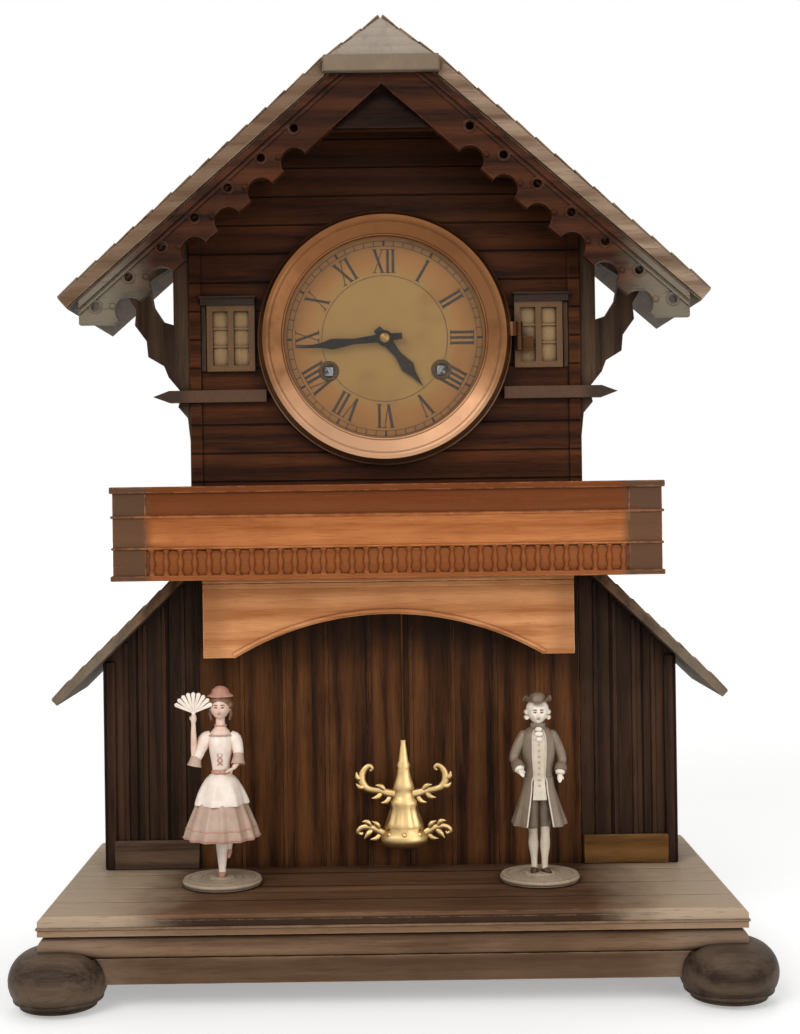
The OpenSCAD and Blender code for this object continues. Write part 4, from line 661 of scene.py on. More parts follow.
class Shape:
    """One mesh under construction, drawn in millimetres with Blender's mesh operators."""

    def __init__(self) -> None:
        """Starts an empty mesh."""
        self.mesh = bmesh.new()

    @contextmanager
    def placed(self, matrix: Matrix) -> Iterator[None]:
        """Moves whatever is added meanwhile.

        Args:
            matrix: The move.
        """
        before = set(self.mesh.verts)
        yield
        fresh = [vert for vert in self.mesh.verts if vert not in before]
        bmesh.ops.transform(self.mesh, matrix=matrix, verts=fresh)

    def chamfer(self, verts: Sequence[bmesh.types.BMVert], width: float, segments: int) -> None:
        """Cuts a chamfer on edges.

        Args:
            verts: Points whose edges are cut.
            width: Width of the cut.
            segments: Number of faces across it.
        """
        edges = list({edge for vert in verts for edge in vert.link_edges})
        bmesh.ops.bevel(self.mesh, geom=edges, offset=width, affect="EDGES", segments=segments, profile=0.5,
                        material=-1)

    def box(self, low: Point, high: Point, bevel: float = 0.0, turn: Matrix = Matrix.Identity(4)) -> None:
        """Adds a box between two corners.

        Args:
            low: Lowest corner.
            high: Highest corner.
            bevel: Width of the chamfer on its edges.
            turn: Turn of the box about its own middle.
        """
        size = Vector(high) - Vector(low)
        matrix = Matrix.Translation(Vector(low) + size / 2) @ turn @ Matrix.Diagonal((*size, 1))
        made = bmesh.ops.create_cube(self.mesh, size=1.0, matrix=matrix)
        if bevel:
            self.chamfer(made["verts"], bevel, 1)

    def boxes(self, low: Point, high: Point, bevel: float = 0.0) -> None:
        """Adds a box at the right, given as for box, and its mirror at the left."""
        self.box((-high[0], *low[1:]), (-low[0], *high[1:]), bevel)
        self.box(low, high, bevel)

    def ball(self, centre: Point, radii: Point, fine: int = 20) -> None:
        """Adds an ellipsoid with a number of meridians."""
        bmesh.ops.create_uvsphere(self.mesh, u_segments=fine, v_segments=max(6, fine * 2 // 3), radius=1.0,
                                  matrix=Matrix.Translation(centre) @ Matrix.Diagonal((*radii, 1)))

    def turned(self, profile: Outline, centre: Point = (0, 0, 0), axis: Axis = Axis.Z, steps: int = 48,
               closed: bool = False) -> None:
        """Adds a turned shape.

        Args:
            profile: Radius and height of each point along its side.
            centre: Point on the axis from which heights are counted.
            axis: Direction of the axis.
            steps: Number of its sides.
            closed: Whether the profile is a loop, as for a ring.
        """
        rod = Vector((0, 0, 0))
        rod[axis.value] = 1.0
        before = set(self.mesh.verts)
        verts = [self.mesh.verts.new(Vector(centre) + Vector((r, 0, 0)) + rod * h) for r, h in profile]
        pairs = list(zip(verts, verts[1:])) + ([(verts[-1], verts[0])] if closed else [])
        edges = [self.mesh.edges.new(pair) for pair in pairs]
        bmesh.ops.spin(self.mesh, geom=verts + edges, cent=centre, axis=rod, dvec=(0, 0, 0),
                       angle=FULL_TURN, steps=steps, use_merge=True)
        fresh = [vert for vert in self.mesh.verts if vert not in before]
        bmesh.ops.remove_doubles(self.mesh, verts=fresh, dist=0.002)

    def tube(self, rows: Sequence[Row], sides: int, flat: float = 1.0) -> None:
        """Adds a tube with closed ends.

        Args:
            rows: Middle and radius of each ring.
            sides: Number of sides.
            flat: Share by which the tube is narrower from front to back.
        """
        spots = [Vector(row[:3]) for row in rows]
        rims = []
        for k, (spot, row) in enumerate(zip(spots, rows)):
            way = spots[min(k + 1, len(spots) - 1)] - spots[max(k - 1, 0)]
            turn = way.to_track_quat("Z", "Y").to_matrix().to_4x4()
            matrix = Matrix.Translation(spot) @ turn @ Matrix.Diagonal((1, flat, 1, 1))
            made = bmesh.ops.create_circle(self.mesh, cap_ends=False, segments=sides, radius=row[3],
                                           matrix=matrix)
            rims.append(list({edge for vert in made["verts"] for edge in vert.link_edges}))
        for first, second in zip(rims, rims[1:]):
            bmesh.ops.bridge_loops(self.mesh, edges=first + second)
        for rim in (rims[0], rims[-1]):
            bmesh.ops.edgeloop_fill(self.mesh, edges=rim)

    def swept(self, profile: Outline, gap: float, steps: int = 64) -> None:
        """Adds a closed profile turned round Z, with a gap in front and closed ends.

        Args:
            profile: Radius and height of each corner of the profile.
            gap: Angle of the gap in degrees.
            steps: Number of its sides.
        """
        start = math.radians(gap / 2 - 90)
        verts = [self.mesh.verts.new((r * math.cos(start), r * math.sin(start), h)) for r, h in profile]
        edges = [self.mesh.edges.new(pair) for pair in zip(verts, verts[1:] + verts[:1])]
        made = bmesh.ops.spin(self.mesh, geom=verts + edges, cent=(0, 0, 0), axis=(0, 0, 1), dvec=(0, 0, 0),
                              angle=math.radians(360 - gap), steps=steps, use_merge=False)
        last = [part for part in made["geom_last"] if isinstance(part, bmesh.types.BMEdge)]
        for rim in (edges, last):
            bmesh.ops.edgeloop_fill(self.mesh, edges=rim)

    def plate(self, outline: Outline, front: float, back: float, bevel: float = 0.0) -> None:
        """Adds a plate cut to an outline in X and Z.

        Args:
            outline: Corners of the outline.
            front: Y of its front face.
            back: Y of its back face.
            bevel: Width of the chamfer on its edges.
        """
        verts = [self.mesh.verts.new((x, front, z)) for x, z in outline]
        face = bmesh.ops.contextual_create(self.mesh, geom=verts)["faces"]
        made = bmesh.ops.extrude_face_region(self.mesh, geom=face)["geom"]
        moved = [part for part in made if isinstance(part, bmesh.types.BMVert)]
        bmesh.ops.translate(self.mesh, verts=moved, vec=(0, back - front, 0))
        if bevel:
            self.chamfer(verts + moved, bevel, 2)

    def shingled(self, start: tuple[float, float], side: int, pitch: float, reach: tuple[float, float],
                 depth: tuple[float, float], course: float, seed: int, thick: float) -> None:
        """Lays courses of shingles on a slope.

        Args:
            start: X and Z where the slope starts.
            side: 1 for a slope that falls to the right, -1 to the left.
            pitch: Angle of the slope in degrees.
            reach: Distances down the slope where the first course starts and the last ends.
            depth: Lowest and highest Y.
            course: Height of a course along the slope.
            seed: Seed of the shingles' widths.
            thick: Thickness of a shingle.
        """
        chance = Random(seed)
        slope = Matrix.Rotation(math.radians(pitch) * side, 4, "Y")
        count = math.ceil((reach[1] - reach[0]) / course)
        step = (reach[1] - reach[0]) / count
        with self.placed(Matrix.Translation((start[0], 0, start[1])) @ slope):
            for row in range(count):
                low = reach[0] + row * step
                at = depth[0]
                while at < depth[1] - 0.5:
                    width = min(chance.uniform(8.5, 13.5), depth[1] - at)
                    if depth[1] - at - width < 4:
                        width = depth[1] - at
                    lap = chance.uniform(-0.4, 0.5) if row < count - 1 else 0.0
                    ends = sorted((side * max(low - 1.5, reach[0] - 0.5), side * (low + step + lap)))
                    tilt = side * math.radians(3.2 + chance.uniform(-0.5, 0.5))
                    self.box((ends[0], at + 0.15, -0.05 * thick), (ends[1], at + width - 0.15, 0.95 * thick),
                             0.22, Matrix.Rotation(tilt, 4, "Y"))
                    at += width

    def shaped(self, rule: Callable[[Vector], Vector]) -> None:
        """Moves every point to the place that a rule gives for it."""
        for vert in self.mesh.verts:
            vert.co = rule(vert.co.copy())


@dataclass
class Part:
    """Sub-assembly of the clock, with the frame's nodes that it dresses."""

    frame: dict
    finishes: Finishes
    looks: ClassVar[dict[str, str]] = {}

    def build(self) -> None:
        """Dresses the nodes and adds the pieces."""
        for node, finish in self.looks.items():
            for slot in self.frame["nodes"][node].material_slots:
                slot.material = self.finishes[finish]
            LOG.info("%s is finished in %s", node, finish)
        self.add_pieces()

    def add_pieces(self) -> None:
        """Adds the pieces that the frame doesn't have."""

    @contextmanager
    def piece(self, name: str, finish: str, slot: str, body: str = "root", crease: float = 40.0,
              smooth: int = 0, instead: str = "") -> Iterator[Shape]:
        """Opens an empty shape, and makes it a piece of the clock once it is filled.

        Args:
            name: Name of the piece.
            finish: Name of its finish.
            slot: Not used; the record's slot for its finish.
            body: Body that carries it.
            crease: Angle in degrees above which an edge stays sharp.
            smooth: Levels of subdivision.
            instead: Node of the frame that it stands in for.

        Yields:
            The empty shape.
        """
        shape = Shape()
        yield shape
        mesh = shape.mesh
        bmesh.ops.recalc_face_normals(mesh, faces=mesh.faces)
        bmesh.ops.transform(mesh, matrix=Matrix.Diagonal((METRE, METRE, METRE, 1)), verts=mesh.verts)
        data = bpy.data.meshes.new(name)
        mesh.to_mesh(data)
        mesh.free()
        data.materials.append(self.finishes[finish])
        data.shade_smooth()
        data.set_sharp_from_angle(angle=math.radians(crease))
        piece = bpy.data.objects.new(name, data)
        bpy.context.scene.collection.objects.link(piece)
        if smooth:
            step = piece.modifiers.new("Subdivision", "SUBSURF")
            step.levels = step.render_levels = smooth
        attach(piece, body)
        if instead:
            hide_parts(instead)
        LOG.info("%s rides on %s with %d faces", name, body, len(data.polygons))


@dataclass
class Base(Part):
    """Bun feet, rails, stage and the board under them."""

    half_w: float = 163.0
    half_d: float = 83.0
    stage_under: float = 35.0
    foot_x: float = 155.0
    foot_y: float = 75.0
    looks = {"bun_feet": "feet_wood", "plinth_rails": "base_rail_wood", "stage_board": "stage_wood",
             "base_cover": "back_wood"}

    def add_pieces(self) -> None:
        """Adds the turned rings round the feet, and the thin moulding under the stage board."""
        with self.piece("foot_rings", "feet_wood", "foot_wood") as shape:
            for x in (-self.foot_x, self.foot_x):
                for y in (-self.foot_y, self.foot_y):
                    for z, radius in ((5.6, 20.3), (2.6, 17.4)):
                        shape.turned(ring(radius, z, 0.55, 0.7), (x, y, 0), steps=56, closed=True)
        low, high = self.stage_under + 2.9, self.stage_under + 4.1
        with self.piece("stage_cove", "base_rail_wood", "base_wood") as shape:
            for side in SIDES:
                ends = sorted((side * self.half_d, side * (self.half_d + 0.9)))
                shape.box((-self.half_w - 0.5, ends[0], low), (self.half_w + 0.5, ends[1], high), 0.4)
            shape.boxes((self.half_w, -self.half_d - 0.5, low),
                        (self.half_w + 0.9, self.half_d + 0.5, high), 0.4)


@dataclass
class LowerStorey(Part):
    """Porch, side rooms, their lean-to roofs and the arch board."""

    stage: float = 44.0
    floor: float = 195.0
    front: float = 14.0
    body_x: float = 98.0
    room_x: float = 147.0
    lean_x: float = 108.0
    lean_tip: float = 171.0
    lean_pitch: float = 44.0
    lean_t: float = 4.0
    roof_front: float = -5.0
    roof_back: float = 80.0
    arch_radius: float = 151.69
    arch_centre: float = 24.31
    arch_half: float = 77.0
    arch_front: float = -12.0
    cornice_x: float = 93.0
    looks = {"porch_wall": "porch_wood", "side_room_fronts": "room_wood", "side_room_walls": "room_side_wood",
             "lean_to_roofs": "roof_wood", "arch_board": "arch_wood"}

    def add_pieces(self) -> None:
        """Adds battens, skirtings, mouldings, shingles and corner posts."""
        with self.piece("side_room_battens", "room_wood", "room_wood") as shape:
            for x in (106.5, 116.3, 126.1, 135.9):
                shape.boxes((x - 1.1, self.front - 1.1, self.stage),
                            (x + 1.1, self.front + 0.2, self.under_lean(x + 1.2) - 0.2), 0.35)
        near, far = self.body_x + 1.0, self.room_x - 4.0
        for name, finish, left, right in (("left_skirting", "skirting_wood", -far, -near),
                                          ("right_skirting", "patch_wood", near, far)):
            with self.piece(name, finish, "room_wood") as shape:
                shape.box((left, self.front - 2.0, self.stage), (right, self.front, self.stage + 15), 0.6)
        self.arch_mouldings()
        length = (self.lean_tip - self.lean_x) / math.cos(math.radians(self.lean_pitch))
        for side, name in ((-1, "left_lean_shingles"), (1, "right_lean_shingles")):
            with self.piece(name, "shingle_wood", "roof_wood", crease=25.0) as shape:
                shape.shingled((side * self.lean_x, self.floor), side, self.lean_pitch, (0.5, length - 0.3),
                               (self.roof_front + 0.4, self.roof_back - 0.4), 11.0, 5 + side, 0.9)
        with self.piece("room_corner_posts", "room_wood", "room_wood") as shape:
            shape.boxes((self.room_x - 5.5, self.front - 1.6, self.stage),
                        (self.room_x + 0.8, self.front + 4, self.under_lean(self.room_x) - 0.3), 0.7)

    def under_lean(self, x: float) -> float:
        """Gives the height of a lean-to roof's underside at a distance from the middle."""
        pitch = math.radians(self.lean_pitch)
        return self.floor - (x - self.lean_x) * math.tan(pitch) - self.lean_t / math.cos(pitch)

    def arch_mouldings(self) -> None:
        """Adds the bead that follows the arch, and the moulding under the balcony."""
        half = math.asin(self.arch_half / self.arch_radius)
        reach = self.arch_radius + 1.6
        y, z = self.arch_front - 0.2, self.arch_centre
        with self.piece("arch_bead", "arch_wood", "arch_wood") as shape:
            shape.tube([(reach * math.sin(a), y, z + reach * math.cos(a), 1.1)
                        for a in (half * (k / 16 - 1) for k in range(33))], 10)
        with self.piece("arch_cornice", "arch_wood", "arch_wood") as shape:
            for proud, low, high in ((1.2, 5.5, 2.6), (2.2, 2.6, 0.2)):
                shape.box((-self.cornice_x, self.arch_front - proud, self.floor - low),
                          (self.cornice_x, self.arch_front, self.floor - high), 0.5)


@dataclass
class Balcony(Part):
    """Floor of the case, balcony rails and their mouldings."""

    floor: float = 195.0
    top: float = 241.0
    half_w: float = 134.0
    front: float = -34.0
    back: float = 75.0
    post_w: float = 16.0
    balusters: int = 34
    looks = {"case_floor": "wall_wood", "balcony_rails": "balcony_wood"}

    def add_pieces(self) -> None:
        """Adds the cap rail, the beads and the small half-round balusters in the lower band."""
        with self.piece("balcony_cap", "balcony_wood", "balcony_wood") as shape:
            self.strip(shape, self.top - 3.2, self.top, 1.4)
        with self.piece("balcony_beads", "balcony_wood", "balcony_wood") as shape:
            self.strip(shape, self.top - 15.4, self.top - 14.0, 1.0)
            self.strip(shape, self.floor + 15.2, self.floor + 16.4, 0.9)
            self.strip(shape, self.floor, self.floor + 2.6, 1.2)
        profile = [(0.5, 0.0), (1.7, 0.0), (1.7, 1.3), (0.9, 2.4), (1.5, 5.0), (1.7, 6.4), (1.2, 8.4),
                   (0.8, 10.2), (1.6, 11.4), (1.6, 12.6), (0.5, 12.6)]
        start = self.half_w - self.post_w - 3.0
        with self.piece("balcony_balusters", "balcony_wood", "balcony_wood", crease=60.0) as shape:
            for k in range(self.balusters):
                x = -start + 2 * start * k / (self.balusters - 1)
                shape.turned(profile, (x, self.front + 0.5, self.floor + 2.6), steps=10)

    def strip(self, shape: Shape, low: float, high: float, out: float) -> None:
        """Adds a strip round the balcony's front and sides.

        Args:
            shape: Shape that takes the strip.
            low: Its lower height.
            high: Its upper height.
            out: Reach in front of the rail.
        """
        edge = self.half_w + out
        shape.box((-edge, self.front - out, low), (edge, self.front + 0.8, high), 0.4)
        shape.boxes((self.half_w - 0.8, self.front + 0.8, low), (edge, self.back, high), 0.4)


@dataclass
class Gabled(Part):
    """Sub-assembly under or on the main roof, with the roof's sizes."""

    ridge: float = 468.0
    pitch: float = math.radians(41.2)
    board_t: float = 7.0

    def top(self, x: float) -> float:
        """Gives the height of the roof board's top at a distance from the middle."""
        return self.ridge - abs(x) * math.tan(self.pitch)


@dataclass
class UpperBody(Gabled):
    """Walls round the dial, windows, courses and eave brackets."""

    floor: float = 201.0
    half_w: float = 98.0
    front: float = -10.0
    window_x: float = 65.0
    window_w: float = 24.0
    window_low: float = 298.5
    window_h: float = 33.0
    sill_low: float = 282.9
    sill_high: float = 289.1
    purlin_front: float = -43.8
    looks = {"front_board": "wall_wood", "side_walls": "wall_side_wood", "window_frames": "frame_paint",
             "window_panes": "curtain_paint", "string_courses": "sill_paint", "eave_brackets": "bracket_wood"}

    def under_roof(self, x: float) -> float:
        """Gives the height of the roof board's underside at a distance from the middle."""
        return self.top(x) - self.board_t / math.cos(self.pitch)

    def add_pieces(self) -> None:
        """Adds corner boards, glazing bars, jambs, the purlins under the overhang, and window hoods."""
        y, wall = self.front, self.half_w
        with self.piece("corner_boards", "wall_wood", "wall_wood") as shape:
            for low, high in ((self.floor, self.sill_low), (self.sill_high, self.under_roof(wall) - 0.4)):
                shape.boxes((wall - 6, y - 1.4, low), (wall + 0.1, y, high), 0.45)
        light_w = (self.window_w - 9) / 2
        with self.piece("glazing_bars", "bar_paint", "cream_paint") as shape:
            for start in (self.window_x + 3, self.window_x + 6 + light_w):
                for share in (0.35, 0.68):
                    z = self.window_low + 3 + share * (self.window_h - 6)
                    shape.boxes((start, y - 2.0, z - 0.5), (start + light_w, y - 0.9, z + 0.5))
        edge = self.window_x + self.window_w
        window_top = self.window_low + self.window_h
        with self.piece("window_jambs", "bracket_wood", "wall_wood") as shape:
            shape.boxes((edge + 0.2, y - 2.2, self.window_low), (edge + 2.9, y, window_top), 0.5)
        with self.piece("purlins", "barge_wood", "barge_wood") as shape:
            for x in (30.0, 62.0):
                top = self.under_roof(x + 3.5) - 0.2
                shape.boxes((x - 3.5, self.purlin_front, top - 8), (x + 3.5, y, top), 0.6)
        # The hoods' near-black paint is painted shadow over the windows.
        with self.piece("window_hoods", "lintel_painted_shadow", "wall_wood") as shape:
            shape.boxes((self.window_x - 1, y - 5.2, window_top + 3.3), (edge + 4, y, window_top + 4.9), 0.5)


@dataclass
class Roof(Gabled):
    """Roof boards with their shingles, the clipped gable and the bargeboards."""

    eave_x: float = 156.0
    front: float = -50.0
    back: float = 80.0
    hip_half: float = 27.0
    hip_z: float = 444.36
    hip_low: float = 437.36
    hip_run: float = 15.0
    hip_rows: int = 4
    barge_d: float = 20.0
    barge_t: float = 6.0
    collar_h: float = 26.0
    scallops: int = 7
    looks = {"roof_panels": "roof_wood", "roof_hip": "hip_paint", "bargeboards": "barge_wood"}

    def add_pieces(self) -> None:
        """Adds shingles, verges, the boards of the clipped gable, carving, collar and ridge cap."""
        length = self.eave_x / math.cos(self.pitch)
        for side, name in ((-1, "left_shingles"), (1, "right_shingles")):
            with self.piece(name, "shingle_wood", "roof_wood", crease=25.0) as shape:
                shape.shingled((0, self.ridge), side, math.degrees(self.pitch), (0.6, length - 0.2),
                               (self.front + 0.2, self.back - 0.3), 12.2, 31 + side, 1.5)
                self.trim(shape.mesh)
        self.verges()
        self.hip_boards()
        self.barge_carving()
        self.collar_layers()
        with self.piece("ridge_cap", "verge_wood", "roof_wood") as shape:
            start = self.hip_y(self.ridge) + 1.5
            for side, left, right in ((-1, -7.5, 0.4), (1, -0.4, 7.5)):
                slope = Matrix.Rotation(side * self.pitch, 4, "Y")
                with shape.placed(Matrix.Translation((0, 0, self.ridge)) @ slope):
                    shape.box((left, start, 1.0), (right, self.back + 0.6, 2.4), 0.35)

    def hip_y(self, z: float) -> float:
        """Gives the Y of the clipped gable's outer face at a height."""
        return self.front + (z - self.hip_z) * self.hip_run / (self.ridge - self.hip_z)

    def trim(self, mesh: bmesh.types.BMesh) -> None:
        """Cuts away the part of the shingles that stands in front of the clipped gable.

        Args:
            mesh: The shingles.
        """
        near = [vert for vert in mesh.verts if vert.co.z > self.hip_z - 6 and vert.co.y < self.front + 40]
        faces = {face for vert in near for face in vert.link_faces}
        parts = {part for face in faces for part in (*face.edges, *face.verts)} | faces
        cut = bmesh.ops.bisect_plane(mesh, geom=list(parts), dist=0.001, clear_outer=True,
                                     plane_co=(0, self.front + 0.3, self.hip_z),
                                     plane_no=Vector((0, self.hip_z - self.ridge, self.hip_run)).normalized())
        rims = [part for part in cut["geom_cut"] if isinstance(part, bmesh.types.BMEdge)]
        bmesh.ops.edgenet_fill(mesh, edges=rims)

    def verges(self) -> None:
        """Adds the pale strip on the front and back edges of the roof boards."""
        thick = 6.2
        x, z = self.eave_x, self.top(self.eave_x)
        foot = (x - thick * math.sin(self.pitch), z - thick * math.cos(self.pitch))
        for name, y, start in (("front_verge", self.front - 1.3, self.hip_half + 0.2),
                               ("back_verge", self.back, 0.02)):
            outline = [(start, self.top(start)), (x, z), foot,
                       (start, self.top(start) - thick / math.cos(self.pitch))]
            with self.piece(name, "verge_wood", "roof_wood") as shape:
                for half in (outline, mirrored(outline)):
                    shape.plate(half, y, y + 1.3, 0.3)

    def hip_boards(self) -> None:
        """Adds overlapping boards and a fascia to the clipped gable."""
        lean = math.atan2(self.hip_run, self.ridge - self.hip_z)
        step = (self.ridge - 2 - self.hip_z) / self.hip_rows
        with self.piece("hip_courses", "hip_paint", "hip_paint") as shape:
            for k in range(self.hip_rows):
                low = self.hip_z + k * step
                high = low + step + 1.4
                foot, head = (max(0.4, (self.ridge - z) / math.tan(self.pitch) - 0.6) for z in (low, high))
                turn = Matrix.Rotation(-lean + 0.05, 4, "X") @ Matrix.Translation((0, 0, -low))
                with shape.placed(Matrix.Translation((0, self.hip_y(low), low)) @ turn):
                    shape.plate([(-foot, low), (foot, low), (head, high), (-head, high)], -1.15, 0.1, 0.15)
        y = self.hip_y(self.hip_low)
        with self.piece("hip_fascia", "fascia_paint", "hip_paint") as shape:
            shape.box((-self.hip_half - 0.6, y - 1.2, self.hip_low - 0.4),
                      (self.hip_half + 0.6, y + 1.4, self.hip_z + 0.6), 0.5)

    def barge_carving(self) -> None:
        """Adds the moulding, the rims of the holes and the drops carved on the bargeboards."""
        rise, flat = math.tan(self.pitch), math.cos(self.pitch)
        under = self.top(0) - self.board_t / flat
        drop = self.barge_d / flat
        stop = self.eave_x - 10
        head = self.hip_low - 0.8
        first = 34
        step = (stop - first) / self.scallops
        with self.piece("barge_carving", "barge_wood", "barge_wood") as shape:
            for low, high in ((0.6, 3.4), (4.6, 5.8)):
                ends = [[((line - head) / rise, head), (stop, line - stop * rise)]
                        for line in (under - low / flat, under - high / flat)]
                outline = ends[0] + ends[1][::-1]
                for half in (outline, mirrored(outline)):
                    shape.plate(half, self.front - 0.9, self.front, 0.25)
            for side in SIDES:
                for k in range(self.scallops):
                    x = first + k * step
                    hole = x + step / 2
                    rim = (side * hole, self.front, under - hole * rise - drop * 0.4)
                    shape.turned(ring(2.85, 0, 0.5, 0.55), rim, Axis.Y, 20, True)
                    if k:
                        tip = (side * (x - 0.3), self.front, under - x * rise - drop * 0.66)
                        shape.turned([(0.02, -1.3), (0.8, -1.2), (1.4, -0.6), (1.5, 0.0)], tip, Axis.Y, 14)

    def collar_layers(self) -> None:
        """Adds the stepped boards in front of the collar, between the bargeboards."""
        inner = self.top(0) - (self.board_t + self.barge_d) / math.cos(self.pitch)
        back = self.front + self.barge_t
        low = self.hip_low - self.collar_h
        # Near-black boards, whose colour is painted shade under the clipped gable.
        with self.piece("collar_layers", "collar_wood_painted_shade", "barge_wood") as shape:
            for height, proud in ((4.6, 3.6), (4.2, 2.6), (4.2, 1.6), (4.2, 0.8)):
                high = low + height
                foot, head = ((inner - z) / math.tan(self.pitch) - 0.25 for z in (low, high))
                outline = [(-foot, low), (foot, low), (head, high), (-head, high)]
                shape.plate(outline, back - proud, back + 0.2, 0.3)
                low = high


@dataclass
class Dial(Part):
    """Dial with its numerals, hands, bezel and glass."""

    centre_z: float = 314.0
    face: float = -11.2
    ink: float = 0.14
    numeral_in: float = 33.0
    numeral_out: float = 44.6
    track_in: float = 46.2
    track_out: float = 48.8
    inner_ring: float = 31.4
    nut_y: float = -15.4
    arbor_x: float = 28.2
    arbor_z: float = 298.0
    numerals: tuple[str, ...] = ("XII", "I", "II", "III", "IIII", "V", "VI", "VII", "VIII", "IX", "X", "XI")
    widths: ClassVar[dict[str, float]] = {"I": 2.7, "V": 6.4, "X": 6.6}
    looks = {"dial_plate": "dial_face", "bezel_ring": "worn_copper_and_painted_light", "bezel_glass": "clear_glass",
             "minute_hand": "hand_steel", "hour_hand": "hand_steel"}

    def add_pieces(self) -> None:
        """Adds numerals, minute track, collets, the hands' nut and the bezel's beads."""
        front, back = self.face - self.ink, self.face + 0.05
        middle, centre = (0, self.centre_z), (0, 0, self.centre_z)
        with self.piece("numerals", "numeral_paint", "dial_paint") as shape:
            for hour, letters in enumerate(self.numerals):
                turn = math.radians(30 * hour)
                start = -sum(self.widths[letter] for letter in letters) / 2
                for letter in letters:
                    for number, outline in enumerate(self.strokes(letter, start)):
                        shape.plate(spun(outline, turn, middle), front - 0.01 * number, back)
                    start += self.widths[letter]
        with self.piece("minute_track", "numeral_paint", "dial_paint") as shape:
            for radius in (self.track_in, self.track_out, self.inner_ring):
                shape.turned([(radius, back), (radius, front), (radius + 0.28, front), (radius + 0.28, back)],
                             centre, Axis.Y, 120, True)
            for minute in range(60):
                stroke = band(0, 0, 0.2 if minute % 5 else 0.55, self.track_in + 0.2, self.track_out + 0.1)
                shape.plate(spun(stroke, math.radians(6 * minute), middle), front - 0.01, back)
        with self.piece("winding_collets", "dull_brass", "brass") as shape:
            for x in (-self.arbor_x, self.arbor_x):
                shape.turned([(3.6, 0.05), (3.6, -0.55), (4.1, -0.8), (4.9, -0.6), (5.2, 0.05)],
                             (x, self.face, self.arbor_z), Axis.Y, 32, True)
        with self.piece("hand_nut", "aged_brass", "brass", "minute_arbor") as shape:
            shape.turned([(0.02, -1.1), (1.3, -1.0), (2.3, -0.5), (2.5, 0.0), (0.02, 0.0)],
                         (0, self.nut_y, self.centre_z), Axis.Y, 28)
        with self.piece("bezel_beads", "worn_copper_and_painted_light", "bezel_copper", "bezel_door") as shape:
            for radius, y, thick in ((50.7, -20.2, 0.7), (62.8, -15.6, 0.7), (57.4, -22.1, 0.4)):
                shape.turned(ring(radius, y, thick, thick, 10), centre, Axis.Y, 120, True)

    def strokes(self, letter: str, start: float) -> list[Outline]:
        """Gives the strokes of one letter as outlines.

        Args:
            letter: I, V or X.
            start: Where the letter starts, along the dial's rim.

        Returns:
            Outlines with their own X along the rim and Z outwards.
        """
        low, high = self.numeral_in, self.numeral_out
        width = self.widths[letter]
        middle, left, right = start + width / 2, start + 1.3, start + width - 1.3
        bold, fine, serif = 0.725, 0.25, 0.22
        bars, serifs = {
            "I": ([(middle, middle, bold)], [(middle, 1.25, low), (middle, 1.25, high)]),
            "V": ([(middle, left, bold), (middle, right, fine)], [(left, 1.3, high), (right, 1.1, high)]),
            "X": ([(right, left, bold), (left, right, fine)],
                  [(left, 1.2, high), (right, 1.1, high), (left, 1.1, low), (right, 1.2, low)]),
        }[letter]
        return ([band(foot, head, half, low, high) for foot, head, half in bars]
                + [band(x, x, half, z - serif, z + serif) for x, half, z in serifs])


class Movement(Part):
    """Plates, trains, gong and the drive to the dancers."""

    looks = {node: finish for finish, nodes in {
        "aged_brass": ("movement_plates", "plate_pillars", "suspension_cock", "centre_wheel", "hour_wheel",
                       "minute_wheel", "time_great_wheel", "third_wheel", "escape_wheel",
                       "strike_great_wheel", "strike_wheel", "strike_pinion_wheel", "strike_fly",
                       "left_idler_gear", "right_idler_gear"),
        "dull_brass": ("pendulum_rod",),
        "polished_steel": ("time_winding_arbor", "strike_winding_arbor", "anchor", "strike_hammer",
                           "drive_shaft", "gear_studs"),
        "blued_steel": ("mainsprings", "gong_coil"),
        "black_iron": ("gong_stand",)}.items() for node in nodes}


